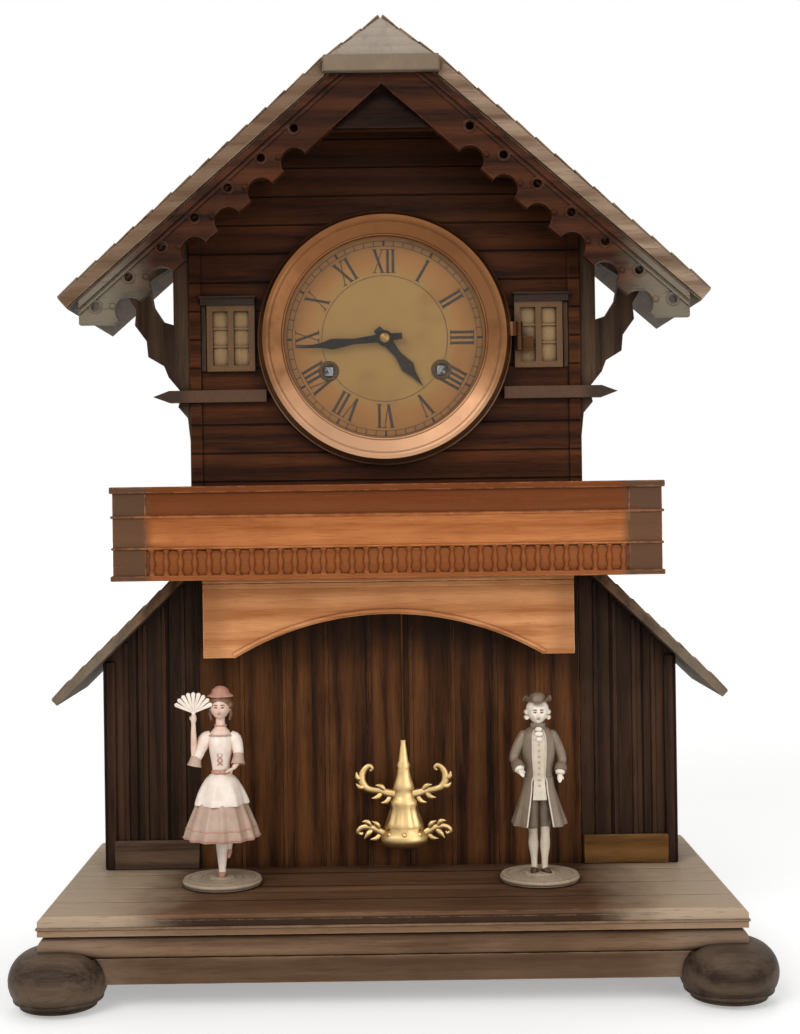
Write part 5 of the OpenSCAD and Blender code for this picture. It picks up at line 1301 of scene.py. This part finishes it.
@dataclass
class Bob(Part):
    """Gilt casting at the foot of the pendulum."""

    x: float = 6.5
    y: float = 1.5
    low: float = 56.5
    flat: float = 0.62

    def add_pieces(self) -> None:
        """Adds the bob in place of the plain one."""
        bell = [(0.02, 0.0), (8.0, 0.0), (11.4, 1.2), (12.4, 3.6), (11.8, 6.0), (9.4, 8.6), (10.0, 10.2),
                (8.9, 12.6), (7.5, 16.0), (6.6, 20.0), (7.2, 21.6), (6.9, 23.4), (5.6, 25.0), (4.9, 28.4),
                (5.8, 30.0), (5.0, 32.4), (3.8, 36.0), (3.2, 40.0), (3.6, 41.6), (2.6, 43.8), (2.0, 48.0),
                (1.3, 53.0), (1.5, 54.2), (0.02, 55.0)]
        scrolls = (((4, 26.5, 2.7), (8, 27.3, 2.4), (12, 28.5, 2.0), (16, 29, 1.8), (19.2, 30.2, 2.0),
                    (21.2, 33.2, 2.1), (21.2, 36.8, 1.9), (19.5, 39.9, 1.6), (17.3, 41.3, 1.3),
                    (16, 39.9, 1.0), (17, 38.7, 0.7)),
                   ((7, 5.5, 2.7), (11, 7, 2.3), (15, 9.2, 2.0), (19, 10.3, 1.8), (22.4, 9.4, 1.5),
                    (23.4, 7.5, 1.2), (21.9, 6.5, 0.9), (21.1, 7.5, 0.6)))
        leaves = (((19, 31), (22.2, 30.6), (24.2, 32.6)), ((21, 34.6), (23.4, 35.4), (24, 38.4)),
                  ((11, 28), (13.4, 25.4), (16.4, 25)), ((6.4, 27), (8.6, 23.2), (11.6, 22.6)),
                  ((9, 27.4), (11.4, 30.8), (14.4, 31.6)), ((12.6, 8), (13.8, 11.6), (16.4, 13.2)),
                  ((16.6, 9.6), (18.6, 12.8), (21.4, 13.2)), ((11.6, 7), (14.2, 4.4), (17.4, 4.2)),
                  ((16, 9), (18.4, 6.8), (20.4, 4.4)))
        place = Matrix.Translation((self.x, self.y, self.low)) @ Matrix.Diagonal((1, self.flat, 1, 1))
        with self.piece("gilt_bob", "gilt_casting", "gilt", "pendulum", 50.0,
                        instead="pendulum_bob") as shape:
            with shape.placed(place):
                shape.turned(bell, steps=64)
                shape.shaped(self.gadrooned)
                for side in SIDES:
                    for scroll in scrolls:
                        shape.tube(flowing([(side * x, 0, z, radius) for x, z, radius in scroll]), 14)
                    for leaf in leaves:
                        shape.tube(flowing([(side * x, -0.4 - 0.9 * k, z, (0.9, 1.5, 0.15)[k])
                                            for k, (x, z) in enumerate(leaf)]), 10)
                for a in circle(8):
                    shape.ball((10.7 * math.cos(a), 10.7 * math.sin(a), 6.6), (1.3, 1.3, 1.6), 10)

    @staticmethod
    def gadrooned(point: Vector) -> Vector:
        """Raises rounded lobes round the bell's waist.

        Args:
            point: Point of the plain bell.

        Returns:
            Its place on the lobed one.
        """
        height = math.exp(-((point.z - 15.5) / 5.5) ** 2)
        lobe = 1 + 0.1 * height * abs(math.cos(5 * math.atan2(point.y, point.x)))
        return Vector((point.x * lobe, point.y * lobe, point.z))


def doll_face(point: Vector) -> Vector:
    """Shapes a ball into a plain head that faces the front.

    Args:
        point: Point of a ball of radius 1.

    Returns:
        The point's place on the head.
    """
    swellings = ((0, -0.2, 0.1, 0.11, 0.16), (0, 0.02, 0.075, 0.17, 0.07), (0.09, -0.24, 0.07, 0.06, 0.03),
                 (0.31, 0.04, 0.17, 0.11, -0.075), (0.3, 0.2, 0.24, 0.08, 0.03),
                 (0.46, -0.26, 0.24, 0.2, 0.045), (0, -0.46, 0.17, 0.06, 0.05),
                 (0, -0.58, 0.16, 0.05, -0.025), (0, -0.78, 0.2, 0.14, 0.08))
    proud = sum(lift * math.exp(-((point.x - middle) / wide) ** 2 - ((point.z - z) / high) ** 2)
                for x, z, wide, high, lift in swellings for middle in {x, -x})
    jaw = max(0.0, -point.z)
    width = 0.82 * (1 - 0.26 * jaw ** 1.6)
    depth = 0.92 * (1 - (0.22 if point.y > 0 else 0.05) * jaw)
    return Vector((point.x * width, point.y * depth - proud * min(1.0, max(0.0, -1.6 * point.y)), point.z))


def pleated(count: int, depth: float, low: float, high: float) -> Callable[[Vector], Vector]:
    """Gives a rule that folds a skirt.

    Args:
        count: Number of folds.
        depth: Share of the radius that a fold takes at the hem.
        low: Height of the hem.
        high: Height where the folds end.

    Returns:
        The rule.
    """

    def rule(point: Vector) -> Vector:
        """Moves a point in or out of the nearest fold.

        Args:
            point: Point of the plain skirt.

        Returns:
            Its place on the folded one.
        """
        angle = math.atan2(point.y, point.x)
        fade = min(1.0, max(0.0, (high - point.z) / (high - low)))
        factor = 1 + depth * fade * (math.cos(count * angle) + 0.35 * math.cos((count * 2 + 1) * angle + 1.3))
        return Vector((point.x * factor, point.y * factor, point.z))

    return rule


@dataclass
class Dancer(Part):
    """Porcelain figure on its turntable."""

    stand: Point = (0.0, -22.0, 47.5)
    body: str = ""
    name: str = ""
    head_r: float = 6.0

    @contextmanager
    def limb(self, name: str, finish: str, smooth: int = 0, instead: str = "") -> Iterator[Shape]:
        """Opens a piece of the figure, whose origin is under the figure's middle.

        Args:
            name: Name without the figure's own.
            finish: Name of the finish.
            smooth: Levels of subdivision.
            instead: Node of the frame that it stands in for.

        Yields:
            The empty shape.
        """
        with self.piece(f"{self.name}_{name}", finish, f"{self.name}_bisque", self.body, 60.0, smooth,
                        instead) as shape:
            with shape.placed(Matrix.Translation(self.stand)):
                yield shape

    def head(self, height: float, skin: str) -> None:
        """Adds a plain doll's head with its features.

        Args:
            height: Height of the head's middle.
            skin: Name of the finish.
        """

        def seated(point: Vector) -> Vector:
            """Brings a point of a head of radius 1 to its size and height."""
            return point * self.head_r + Vector((0, 0, height))

        with self.limb("head", skin) as shape:
            shape.ball((0, 0, 0), (1, 1, 1), 88)
            shape.shaped(doll_face)
            for side in SIDES:
                shape.ball((side * 0.255, -0.745, 0.04), (0.13, 0.115, 0.085), 16)
                shape.ball((side * 0.8, 0.06, -0.06), (0.08, 0.17, 0.22), 14)
            shape.tube([(0, 0.1, -1.85, 0.46), (0, 0.06, -1.2, 0.38), (0, 0.04, -0.6, 0.36)], 20)
            shape.shaped(seated)
        with self.limb("eyes", "lady_hair") as shape:
            for side in SIDES:
                shape.ball((side * 0.255, -0.838, 0.04), (0.052, 0.035, 0.058), 12)
                for row in (((0.13, -0.81, 0.07, 0.012), (0.25, -0.86, 0.118, 0.02),
                             (0.385, -0.76, 0.06, 0.012)),
                            ((0.13, -0.875, 0.25, 0.012), (0.27, -0.845, 0.285, 0.022),
                             (0.42, -0.735, 0.235, 0.012))):
                    shape.tube(flowing([(side * x, y, z, radius) for x, y, z, radius in row]), 6)
            shape.shaped(seated)
        with self.limb("lips", "lady_trim") as shape:
            shape.tube(flowing([(-0.13, -0.85, -0.45, 0.01), (-0.04, -0.885, -0.432, 0.035),
                                (0, -0.882, -0.442, 0.03), (0.04, -0.885, -0.432, 0.035),
                                (0.13, -0.85, -0.45, 0.01)]), 8)
            shape.ball((0, -0.868, -0.495), (0.085, 0.04, 0.036), 12)
            shape.shaped(seated)

    def mound(self, radius: float) -> None:
        """Adds the low mound that the figure stands on."""
        with self.limb("mound", "disc_paint") as shape:
            shape.turned([(0.02, 0.0), (radius, 0.0), (radius - 0.3, 0.6), (radius - 2, 0.9), (0.02, 1.0)])

    @staticmethod
    def hand(shape: Shape, wrist: Vector, way: Vector, size: float) -> None:
        """Adds a hand with its fingers together and the thumb apart.

        Args:
            shape: Shape that takes the hand.
            wrist: Place of the wrist.
            way: Direction from the wrist to the fingertips.
            size: Length of the hand.
        """
        way = way.normalized()
        side = way.cross(Vector((0, 1, 0))).normalized()
        palm = ((-0.6, 0.2), (size * 0.35, 0.3), (size * 0.7, 0.25), (size, 0.1))
        thumb = ((0.15, 0.0, 0.13), (0.4, 0.28, 0.11), (0.62, 0.34, 0.06))
        shape.tube([(*(wrist + way * far), size * share) for far, share in palm], 10, 0.6)
        shape.tube([(*(wrist + (way * far + side * out) * size), size * share)
                    for far, out, share in thumb], 8)


@dataclass
class Lady(Dancer):
    """Lady in a bell skirt, who lifts a fan."""

    stand: Point = (-84.0, -22.0, 47.5)
    body: str = "left_dance_table"
    name: str = "lady"

    def add_pieces(self) -> None:
        """Adds the figure in place of the plain one."""
        self.head(84.0, "lady_skin")
        self.skirt()
        self.bodice()
        self.arms()
        self.fan()
        self.hair()
        self.leg()
        self.trim()

    def skirt(self) -> None:
        """Adds the skirt with its folds and overskirt."""
        with self.limb("skirt", "lady_skirt_bisque", 1, "lady_dancer") as shape:
            shape.turned([(4.3, 52.0), (5.6, 49.4), (8.0, 46.0), (10.6, 41.2), (13.2, 35.4), (15.6, 29.6),
                          (17.4, 24.6), (18.3, 21.0), (18.1, 19.9), (17.3, 20.0), (16.6, 22.4), (12.0, 30.0),
                          (4.0, 38.0), (0.02, 38.5)], steps=88)
            shape.shaped(pleated(13, 0.055, 20.0, 50.0))
        with self.limb("overskirt", "lady_bisque", 1) as shape:
            shape.turned([(4.6, 51.6), (7.4, 49.6), (9.8, 46.0), (11.6, 42.4), (12.8, 39.0), (13.4, 36.6),
                          (12.2, 36.4), (9.0, 40.0), (6.0, 44.0), (4.0, 47.0)], steps=72)
            shape.shaped(pleated(7, 0.07, 36.0, 50.0))

    def bodice(self) -> None:
        """Adds the bodice, the chest above it and the ruffle between them."""

        def fitted(point: Vector) -> Vector:
            """Flattens the body and swells its front.

            Args:
                point: Point of the round body.

            Returns:
                Its place on the fitted one.
            """
            out = sum(math.exp(-((point.x - x) / 2.8) ** 2 - ((point.z - 65.4) / 3.2) ** 2)
                      for x in (-2.3, 2.3))
            return Vector((point.x, point.y * 0.78 - (2.0 * out if point.y < 0 else 0.0), point.z))

        with self.limb("bodice", "lady_bisque", 1) as shape:
            shape.turned([(0.02, 50.0), (4.5, 50.4), (4.1, 52.6), (4.5, 56.0), (5.3, 60.5), (5.9, 64.5),
                          (6.2, 68.0), (6.0, 70.4), (5.5, 70.6), (5.2, 69.2), (0.02, 69.0)])
            shape.shaped(fitted)
        with self.limb("chest", "lady_skin", 1) as shape:
            shape.turned([(0.02, 68.0), (5.5, 68.6), (5.5, 70.8), (4.6, 72.6), (3.0, 73.8), (2.4, 75.4),
                          (0.02, 76.0)], steps=36)
            shape.shaped(fitted)
        with self.limb("ruffle", "lady_skirt_bisque") as shape:
            shape.turned(ring(5.8, 70.5, 0.55, 0.5), steps=72, closed=True)
            shape.shaped(pleated(12, 0.035, 70.0, 72.0))
            shape.shaped(fitted)

    def arms(self) -> None:
        """Adds both arms and hands, the sleeves and their frills."""
        with self.limb("arms", "lady_skin") as shape:
            shape.tube(flowing([(-12.4, -2.0, 58.6, 1.8), (-12.8, -2.6, 64.0, 1.65),
                                (-12.9, -3.4, 71.0, 1.35), (-12.8, -3.8, 77.2, 1.0)]), 16)
            self.hand(shape, Vector((-12.8, -3.8, 77.0)), Vector((0.05, -0.1, 1)), 5.2)
            shape.tube(flowing([(8.9, -1.0, 60.0, 1.75), (8.2, -3.0, 57.0, 1.45),
                                (6.6, -4.8, 54.6, 1.05)]), 16)
            self.hand(shape, Vector((6.6, -4.8, 54.6)), Vector((-0.8, -0.5, -0.35)), 4.6)
        with self.limb("sleeves", "lady_bisque") as shape:
            for row in (((-4.6, 0.6, 70.2, 2.6), (-7.4, 0.0, 68.4, 3.5), (-10.0, -0.9, 63.6, 3.0),
                         (-12.3, -1.9, 58.6, 2.5)),
                        ((4.6, 0.6, 70.2, 2.6), (7.0, 0.2, 68.2, 3.4), (8.4, -0.4, 63.8, 2.9),
                         (8.9, -0.9, 60.2, 2.4))):
                shape.tube(flowing(row), 20)
        with self.limb("sleeve_frills", "lady_skirt_bisque") as shape:
            for top, foot in (((-11.9, -1.8, 60.4), (-12.9, -2.2, 55.6)),
                              ((8.9, -1.0, 61.4), (8.7, -2.6, 56.4))):
                middle = Vector(top).lerp(Vector(foot), 0.5)
                shape.tube([(*top, 2.5), (*middle, 2.9), (*foot, 3.6)], 20)

    def fan(self) -> None:
        """Adds the open fan."""
        blade = [(-0.2975, 0.6), (0.2975, 0.6), (1.0625, 9.6), (0.0, 10.4), (-1.0625, 9.6)]
        with self.limb("fan", "lady_bisque") as shape:
            for k in range(9):
                depth = -4.3 + 0.3 * (k % 2)
                shape.plate(spun(blade, math.radians(16 * k - 64), (-12.7, 82.0)), depth - 0.35, depth + 0.35,
                            0.12)
            shape.turned([(0.02, -0.9), (0.8, -0.8), (1.0, 0.0), (0.8, 0.8), (0.02, 0.9)],
                         (-12.7, -4.2, 82.0), Axis.Y, 14)

    def hair(self) -> None:
        """Adds the dressed hair with its curls and a small cap."""
        with self.limb("hair", "lady_hair") as shape:
            shape.ball((0, 1.0, 86.2), (5.7, 5.7, 5.3), 24)
            shape.ball((0, 2.6, 90.6), (3.6, 3.6, 3.2), 18)
            for k in range(9):
                a = math.radians(27.5 * k - 20)
                shape.ball((5.2 * math.cos(a), 0.8 + 4.8 * math.sin(a), 85.2), (1.5, 1.5, 2.0), 10)
            for side in SIDES:
                shape.tube([(side * 4.4, 1.6, 83.4, 1.3), (side * 4.9, 1.8, 80.4, 1.2),
                            (side * 4.4, 1.4, 77.6, 0.6)], 10)
        with self.limb("cap", "lady_trim") as shape:
            shape.turned([(0.02, 94.6), (2.2, 94.2), (3.9, 92.8), (4.7, 90.8), (6.3, 89.9), (6.5, 89.4),
                          (4.7, 89.6), (0.02, 89.8)], (0, 2.2, 0), steps=40)

    def leg(self) -> None:
        """Adds the leg she turns on, the lifted one, her shoes and the small mound under her."""
        with self.limb("legs", "lady_bisque") as shape:
            shape.tube([(0, 0, 1.6, 1.9), (0, 0, 4.0, 1.7), (0, 0.2, 9.0, 2.3), (0, 0.5, 15.0, 3.0),
                        (0, 0.2, 24.0, 2.8), (0, 0, 32.0, 3.4)], 18)
            shape.tube([(3.2, 2.0, 13.5, 1.5), (3.4, 1.0, 20.0, 2.4), (2.6, 0.0, 30.0, 3.0)], 16)
        with self.limb("shoes", "lady_trim") as shape:
            shape.tube([(0, 1.7, 1.6, 1.5), (0, 0.2, 2.0, 2.0), (0, -2.4, 1.5, 1.7), (0, -4.6, 0.9, 0.8)], 14,
                       0.8)
            shape.tube([(3.2, 2.4, 14.2, 1.4), (3.3, 1.2, 12.2, 1.6), (3.2, -0.4, 9.6, 0.7)], 12)
        self.mound(6.6)

    def trim(self) -> None:
        """Adds the hem, the sash, the lacing and the necklace."""
        with self.limb("trim", "lady_trim") as shape:
            for radius, z, thick in ((17.9, 21.2, 0.55), (16.9, 25.4, 0.4)):
                shape.turned(ring(radius, z, thick, thick), steps=88, closed=True)
            shape.shaped(pleated(13, 0.055, 20.0, 50.0))
            for a in circle(16):
                shape.ball((2.75 * math.cos(a), 0.4 + 2.5 * math.sin(a), 75.2), (0.42, 0.42, 0.42), 8)
            shape.turned([(4.1, 51.2), (4.7, 51.8), (4.8, 52.8), (4.1, 53.4)], steps=36, closed=True)
            for side in SIDES:
                shape.ball((side * 1.5, -4.4, 52.6), (1.6, 0.9, 1.1), 10)
                for k in range(4):
                    z = 56.0 + 2.6 * k
                    shape.tube([(side * 1.3, -4.1 - 0.42 * k, z, 0.24),
                                (-side * 1.3, -4.1 - 0.5 * k, z + 2.2, 0.24)], 6)


@dataclass
class Gentleman(Dancer):
    """Gentleman in a long coat, with one hand held out."""

    stand: Point = (73.0, -22.0, 47.5)
    body: str = "right_dance_table"
    name: str = "gentleman"

    def add_pieces(self) -> None:
        """Adds the figure in place of the plain one."""
        self.head(79.5, "gentleman_bisque")
        self.coat()
        self.front()
        self.arms()
        self.legs()
        self.hair_and_hat()

    def coat(self) -> None:
        """Adds the coat with its flared skirt, shoulders and collar."""
        with self.limb("coat", "gentleman_coat", instead="gentleman_dancer") as shape:
            shape.turned([(0.02, 73.0), (2.8, 72.9), (5.2, 71.6), (7.8, 69.2), (8.6, 66.0), (8.6, 60.0),
                          (7.8, 54.0), (7.0, 49.0), (7.0, 46.0), (0.02, 45.5)], steps=64)
            shape.swept([(7.3, 48.0), (7.9, 43.0), (9.6, 37.0), (11.6, 30.5), (13.2, 25.6), (13.3, 24.4),
                         (12.4, 24.4), (10.8, 29.0), (8.6, 36.5), (6.4, 44.0)], 58)
            shape.turned([(3.0, 71.6), (3.9, 72.0), (3.7, 74.4), (3.1, 74.4)], steps=40, closed=True)
            shape.shaped(self.slim)
            for side in SIDES:
                shape.ball((side * 7.0, 0.2, 67.4), (3.1, 3.1, 3.4), 16)

    @staticmethod
    def slim(point: Vector) -> Vector:
        """Flattens the body from front to back and folds the coat's skirt.

        Args:
            point: Point of the round coat.

        Returns:
            Its place on the flattened one.
        """
        folded = pleated(9, 0.05, 24.0, 44.0)(point)
        flat = 0.76 + 0.18 * min(1.0, max(0.0, (46 - folded.z) / 18))
        return Vector((folded.x, folded.y * flat, folded.z))

    def front(self) -> None:
        """Adds the waistcoat, the neckcloth, the braid on the coat's edges and the buttons."""
        outer = [(5.6, 71.2), (8.1, 69.0), (8.95, 66.0), (8.95, 60.0), (8.15, 54.0), (7.4, 49.0), (7.5, 45.0),
                 (8.3, 41.0), (9.2, 37.4)]
        with self.limb("waistcoat", "gentleman_legs") as shape:
            inner = [(8.3, 37.0), (7.2, 41.0), (6.2, 46.0), (6.0, 54.0), (6.8, 66.0), (4.8, 70.0)]
            shape.swept(outer + inner, 316, 14)
            shape.shaped(lambda point: self.slim(Vector((point.x, -point.y, point.z))))
        with self.limb("neckcloth", "gentleman_bisque") as shape:
            for y, z, wide in ((-4.7, 71.6, 1.8), (-6.2, 69.5, 2.2), (-7.1, 67.0, 1.7)):
                shape.ball((0, y, z), (wide, 0.9, 1.3), 16)
        hem = [(7.7, 46.0), (8.1, 42.0), (9.9, 36.0), (11.9, 29.8), (13.4, 24.8)]
        rows = [(radius, z, math.radians(21.5)) for radius, z in outer[:6]]
        rows += [(radius, z, math.radians(28.5)) for radius, z in hem]
        with self.limb("braid", "gentleman_legs") as shape:
            for side in SIDES:
                shape.tube(flowing([(*self.slim(Vector((side * r * math.sin(a), -r * math.cos(a), z))), 0.42)
                                    for r, z, a in rows]), 8)
        with self.limb("buttons", "gilt_casting") as shape:
            for k in range(8):
                shape.ball((0, (0.2 * max(0, k - 2) - 9.1) * 0.76, 64.4 - 2.9 * k), (0.5, 0.4, 0.5), 8)
            for spot in ((-12.3, -4.7, 55.6), (12.6, -2.4, 54.0)):
                shape.ball(spot, (0.5, 0.5, 0.5), 8)

    def arms(self) -> None:
        """Adds the sleeves with turned-back cuffs, their lace and the hands."""
        poses = [(Vector((side * 7.2, 0.1, 67.4)), Vector((side * 0.6, 0, 0)), Vector(elbow), Vector(wrist),
                  Vector(way).normalized())
                 for side, elbow, wrist, way in (
                     (-1, (-12.0, -1.8, 57.4), (-9.9, -7.0, 52.5), (0.3, -0.75, -0.55)),
                     (1, (11.6, 0.2, 56.4), (10.4, -3.8, 50.4), (-0.1, -0.5, -1)))]
        with self.limb("sleeves", "gentleman_coat") as shape:
            for shoulder, out, elbow, wrist, _ in poses:
                shape.tube(flowing([(*shoulder, 3.0), (*(shoulder.lerp(elbow, 0.5) + out), 2.7),
                                    (*elbow, 2.4), (*elbow.lerp(wrist, 0.5), 2.2), (*wrist, 2.1)]), 20)
                shape.tube([(*wrist.lerp(elbow, share), radius)
                            for share, radius in ((0.6, 2.5), (0.5, 3.0), (0.08, 3.3))], 20)
        with self.limb("cuff_lace", "gentleman_bisque") as shape:
            for _, _, elbow, wrist, way in poses:
                shape.tube([(*wrist.lerp(elbow, 0.15), 2.2), (*wrist, 2.5), (*(wrist + way), 2.0)], 16)
        with self.limb("hands", "gentleman_bisque") as shape:
            for _, _, _, wrist, way in poses:
                self.hand(shape, wrist + way * 0.6, way, 4.8)

    def legs(self) -> None:
        """Adds the stockings, the breeches, the shoes and the mound."""
        stances = ((-1, 0.0, -1.2), (1, -0.6, 2.2))
        with self.limb("legs", "gentleman_legs") as shape:
            for side, y, _ in stances:
                shape.tube(flowing([(side * 2.5, y, 2.4, 1.5), (side * 2.6, y + 0.4, 8.0, 1.7),
                                    (side * 2.8, y + 0.8, 14.0, 2.5), (side * 2.9, y, 20.0, 2.2),
                                    (side * 3.0, 0, 26.0, 2.7)]), 18)
        with self.limb("breeches", "gentleman_coat") as shape:
            for side, y, _ in stances:
                shape.tube(flowing([(side * 2.95, y * 0.6, 22.4, 2.6), (side * 3.0, 0, 24.0, 2.9),
                                    (side * 3.1, 0, 32.0, 3.3), (side * 3.1, 0, 44.0, 3.6)]), 18)
        with self.limb("shoes", "figure_dark") as shape:
            for side, _, toe in stances:
                shape.tube(flowing([(side * 2.5, 1.6, 1.3, 1.3), (side * 2.6, 0.0, 1.9, 1.8),
                                    (side * 2.7 + toe * 0.4, -2.4, 1.5, 1.6),
                                    (side * 2.8 + toe, -5.0, 1.0, 0.8)]), 16, 0.85)
        self.mound(8.2)

    def hair_and_hat(self) -> None:
        """Adds the tied wig and the three-cornered hat."""
        with self.limb("wig", "gentleman_bisque") as shape:
            shape.ball((0, 1.1, 81.0), (5.6, 5.5, 5.2), 24)
            for side in SIDES:
                for z in (79.6, 77.0):
                    shape.tube([(side * 5.2, -0.9, z, 1.0), (side * 5.4, 0.8, z, 1.4),
                                (side * 5.2, 2.4, z, 1.0)], 12)
            shape.tube([(0, 5.2, 80.0, 1.8), (0, 6.4, 76.4, 1.4), (0, 6.4, 71.6, 0.7)], 12)

        def cocked(point: Vector) -> Vector:
            """Turns the brim up on three sides.

            Args:
                point: Point of the flat hat.

            Returns:
                Its place on the cocked one.
            """
            far = math.hypot(point.x, point.y - 0.6)
            angle = math.atan2(point.y - 0.6, point.x)
            lift = max(0.0, far - 4.9) * (0.55 + 0.75 * math.cos(3 * angle + math.pi / 2))
            return Vector((point.x * (1 - 0.03 * lift), point.y, point.z + lift))

        with self.limb("hat", "gentleman_coat", 1) as shape:
            shape.turned([(0.02, 89.4), (2.6, 89.0), (4.2, 87.6), (4.8, 84.9), (7.2, 84.4), (7.6, 84.9),
                          (7.2, 85.3), (4.6, 84.2), (0.02, 84.0)], (0, 0.6, 0))
            shape.shaped(cocked)


@dataclass
class Turntables(Part):
    """Discs that the dancers turn on."""

    y: float = -22.0
    z: float = 44.5
    radius: float = 19.0
    thick: float = 3.0
    looks = {"left_turntable": "disc_paint", "right_turntable": "disc_paint"}

    def add_pieces(self) -> None:
        """Adds the discs' turned rims."""
        sections = (ring(self.radius - 0.3, self.z + 1.5, 0.9, 1.1, 10),
                    *(ring(radius, self.z + self.thick, 0.35, 0.28) for radius in (16.2, 10.4)))
        for side, x in (("left", -84.0), ("right", 73.0)):
            with self.piece(f"{side}_disc_rim", "disc_paint", "disc_paint", f"{side}_dance_table") as shape:
                for section, steps in zip(sections, (72, 64, 64)):
                    shape.turned(section, (x, self.y, 0), steps=steps, closed=True)


@dataclass
class Back(Part):
    """Back boards, back door and their fittings."""

    face: float = 75.0
    door_x: float = 70.0
    door_low: float = 240.0
    door_high: float = 345.0
    rail: float = 11.0
    screw_x: float = 144.0
    panel_low: float = 44.0
    panel_h: float = 151.0
    looks = {"back_panels": "back_wood", "back_door": "door_wood", "door_hinges": "dull_brass",
             "door_catch": "aged_brass", "case_screws": "aged_brass"}

    def add_pieces(self) -> None:
        """Adds the door's frame and raised field, clear of hinges and catch, and the screws' slots."""
        low, high, edge = self.door_low + 1.2, self.door_high - 1.2, self.door_x - 1.2
        inner, bottom, top = edge - self.rail, low + self.rail, high - self.rail
        middle = (low + high) / 2
        with self.piece("door_frame", "door_wood", "back_wood", "rear_door") as shape:
            for x0, x1, z0, z1 in ((-edge, edge, low, bottom), (-edge, edge, top, high),
                                   (-edge, -inner, bottom, middle - 5.5), (-edge, -inner, middle + 19.0, top),
                                   (inner, edge, bottom, self.door_low + 19.5),
                                   (inner, edge, self.door_low + 28.5, self.door_high - 20.5)):
                shape.box((x0, self.face - 0.1, z0), (x1, self.face + 1.2, z1), 0.4)
            shape.box((6 - inner, self.face - 0.1, bottom + 6), (inner - 6, self.face + 0.9, top - 6), 0.8)
        with self.piece("screw_slots", "blued_steel", "brass") as shape:
            for x, side in ((-self.screw_x, -1), (self.screw_x, 1)):
                for k, share in enumerate((0.1, 0.33, 0.56)):
                    z = self.panel_low + share * self.panel_h
                    turn = Matrix.Rotation(math.radians(25 + 50 * k + 20 * side), 4, "Y")
                    shape.box((x - 2.4, self.face + 1.2, z - 0.3), (x + 2.4, self.face + 1.46, z + 0.3),
                              turn=turn)


@dataclass
class Studio:
    """Floor, light and camera, in metres."""

    daylight: float = 0.42
    focal: float = 57.06
    distance: float = 0.833
    height: float = 0.233
    shift: tuple[float, float] = (0.0126, -0.0164)
    roll: float = math.radians(0.8)

    def build(self) -> None:
        """Sets up the floor, the light, the camera and the view."""
        self.floor()
        world = bpy.data.worlds.new("studio")
        bpy.context.scene.world = world
        sheet = Sheet(world, "OutputWorld")
        plain, white = (sheet.add("Background", {"Color": (1, 1, 1, 1), "Strength": strength}).outputs[0]
                        for strength in (self.daylight, 1.0))
        sheet.plug(sheet.surface, sheet.add("MixShader", {0: sheet.seen(), 1: plain, 2: white}).outputs[0])
        for name, spot, power, size in (("key", (-0.75, -1.35, 1.25), 12.5, 0.9),
                                        ("fill", (0.8, -1.3, 0.42), 7.5, 1.0),
                                        ("top", (0.1, 0.5, 1.6), 5.5, 1.0)):
            data = bpy.data.lights.new(name, "AREA")
            data.energy, data.size = power, size
            way = Vector((0, 0, 0.2)) - Vector(spot)
            self.stand(name, data, spot, way.to_track_quat("-Z", "Y").to_euler())
        data = bpy.data.cameras.new("camera")
        data.lens, data.sensor_width, data.clip_start = self.focal, 36.0, 0.01
        data.shift_x, data.shift_y = self.shift
        turn = Euler((math.pi / 2, self.roll, 0))
        bpy.context.scene.camera = self.stand("camera", data, (0, -self.distance, self.height), turn)
        bpy.context.scene.view_settings.view_transform = "Standard"

    @staticmethod
    def stand(name: str, data: bpy.types.ID, spot: Point = (0, 0, 0),
              turn: Euler = Euler()) -> bpy.types.Object:
        """Stands an object of the studio at a spot, with a turn.

        Args:
            name: Name of the object.
            data: Its mesh, lamp or camera.
            spot: Its place.
            turn: Its turn.

        Returns:
            The object.
        """
        made = bpy.data.objects.new(name, data)
        made.location, made.rotation_euler = spot, turn
        bpy.context.scene.collection.objects.link(made)
        return made

    def floor(self) -> None:
        """Adds the pale floor, which looks white to the camera away from the clock."""
        sheet = Surface("floor_paper")
        colour = sheet.ramp(sheet.noise(3, 3, 0.5), [(0.3, (0.88, 0.88, 0.87, 1)),
                                                     (0.7, (0.91, 0.91, 0.9, 1))])
        far = sheet.add("VectorMath", {0: sheet.spot}, operation="LENGTH").outputs["Value"]
        glow = sheet.math("MULTIPLY_ADD", sheet.span(far, 0.5, 2.6), 0.42, 0.36)
        mesh = bmesh.new()
        bmesh.ops.create_grid(mesh, x_segments=2, y_segments=2, size=6.0,
                              matrix=Matrix.Translation((0, 3.0, -0.0002)))
        data = bpy.data.meshes.new("floor")
        mesh.to_mesh(data)
        mesh.free()
        data.materials.append(sheet.done({"Base Color": colour, "Roughness": 0.9,
                                          "Emission Color": (1, 1, 1, 1),
                                          "Emission Strength": sheet.times(sheet.seen(), glow)}))
        floor = self.stand("floor", data)


def main() -> None:
    """Builds every sub-assembly round the frame."""
    logging.basicConfig(level=logging.INFO, format="%(message)s")
    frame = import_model()
    finishes = Finishes()
    for part in (Base, LowerStorey, Balcony, UpperBody, Roof, Dial, Movement, Bob, Turntables, Lady,
                 Gentleman, Back):
        part(frame, finishes).build()
        LOG.info("%s is built", part.__name__)
    Studio().build()


if __name__ == "__main__":
    main()
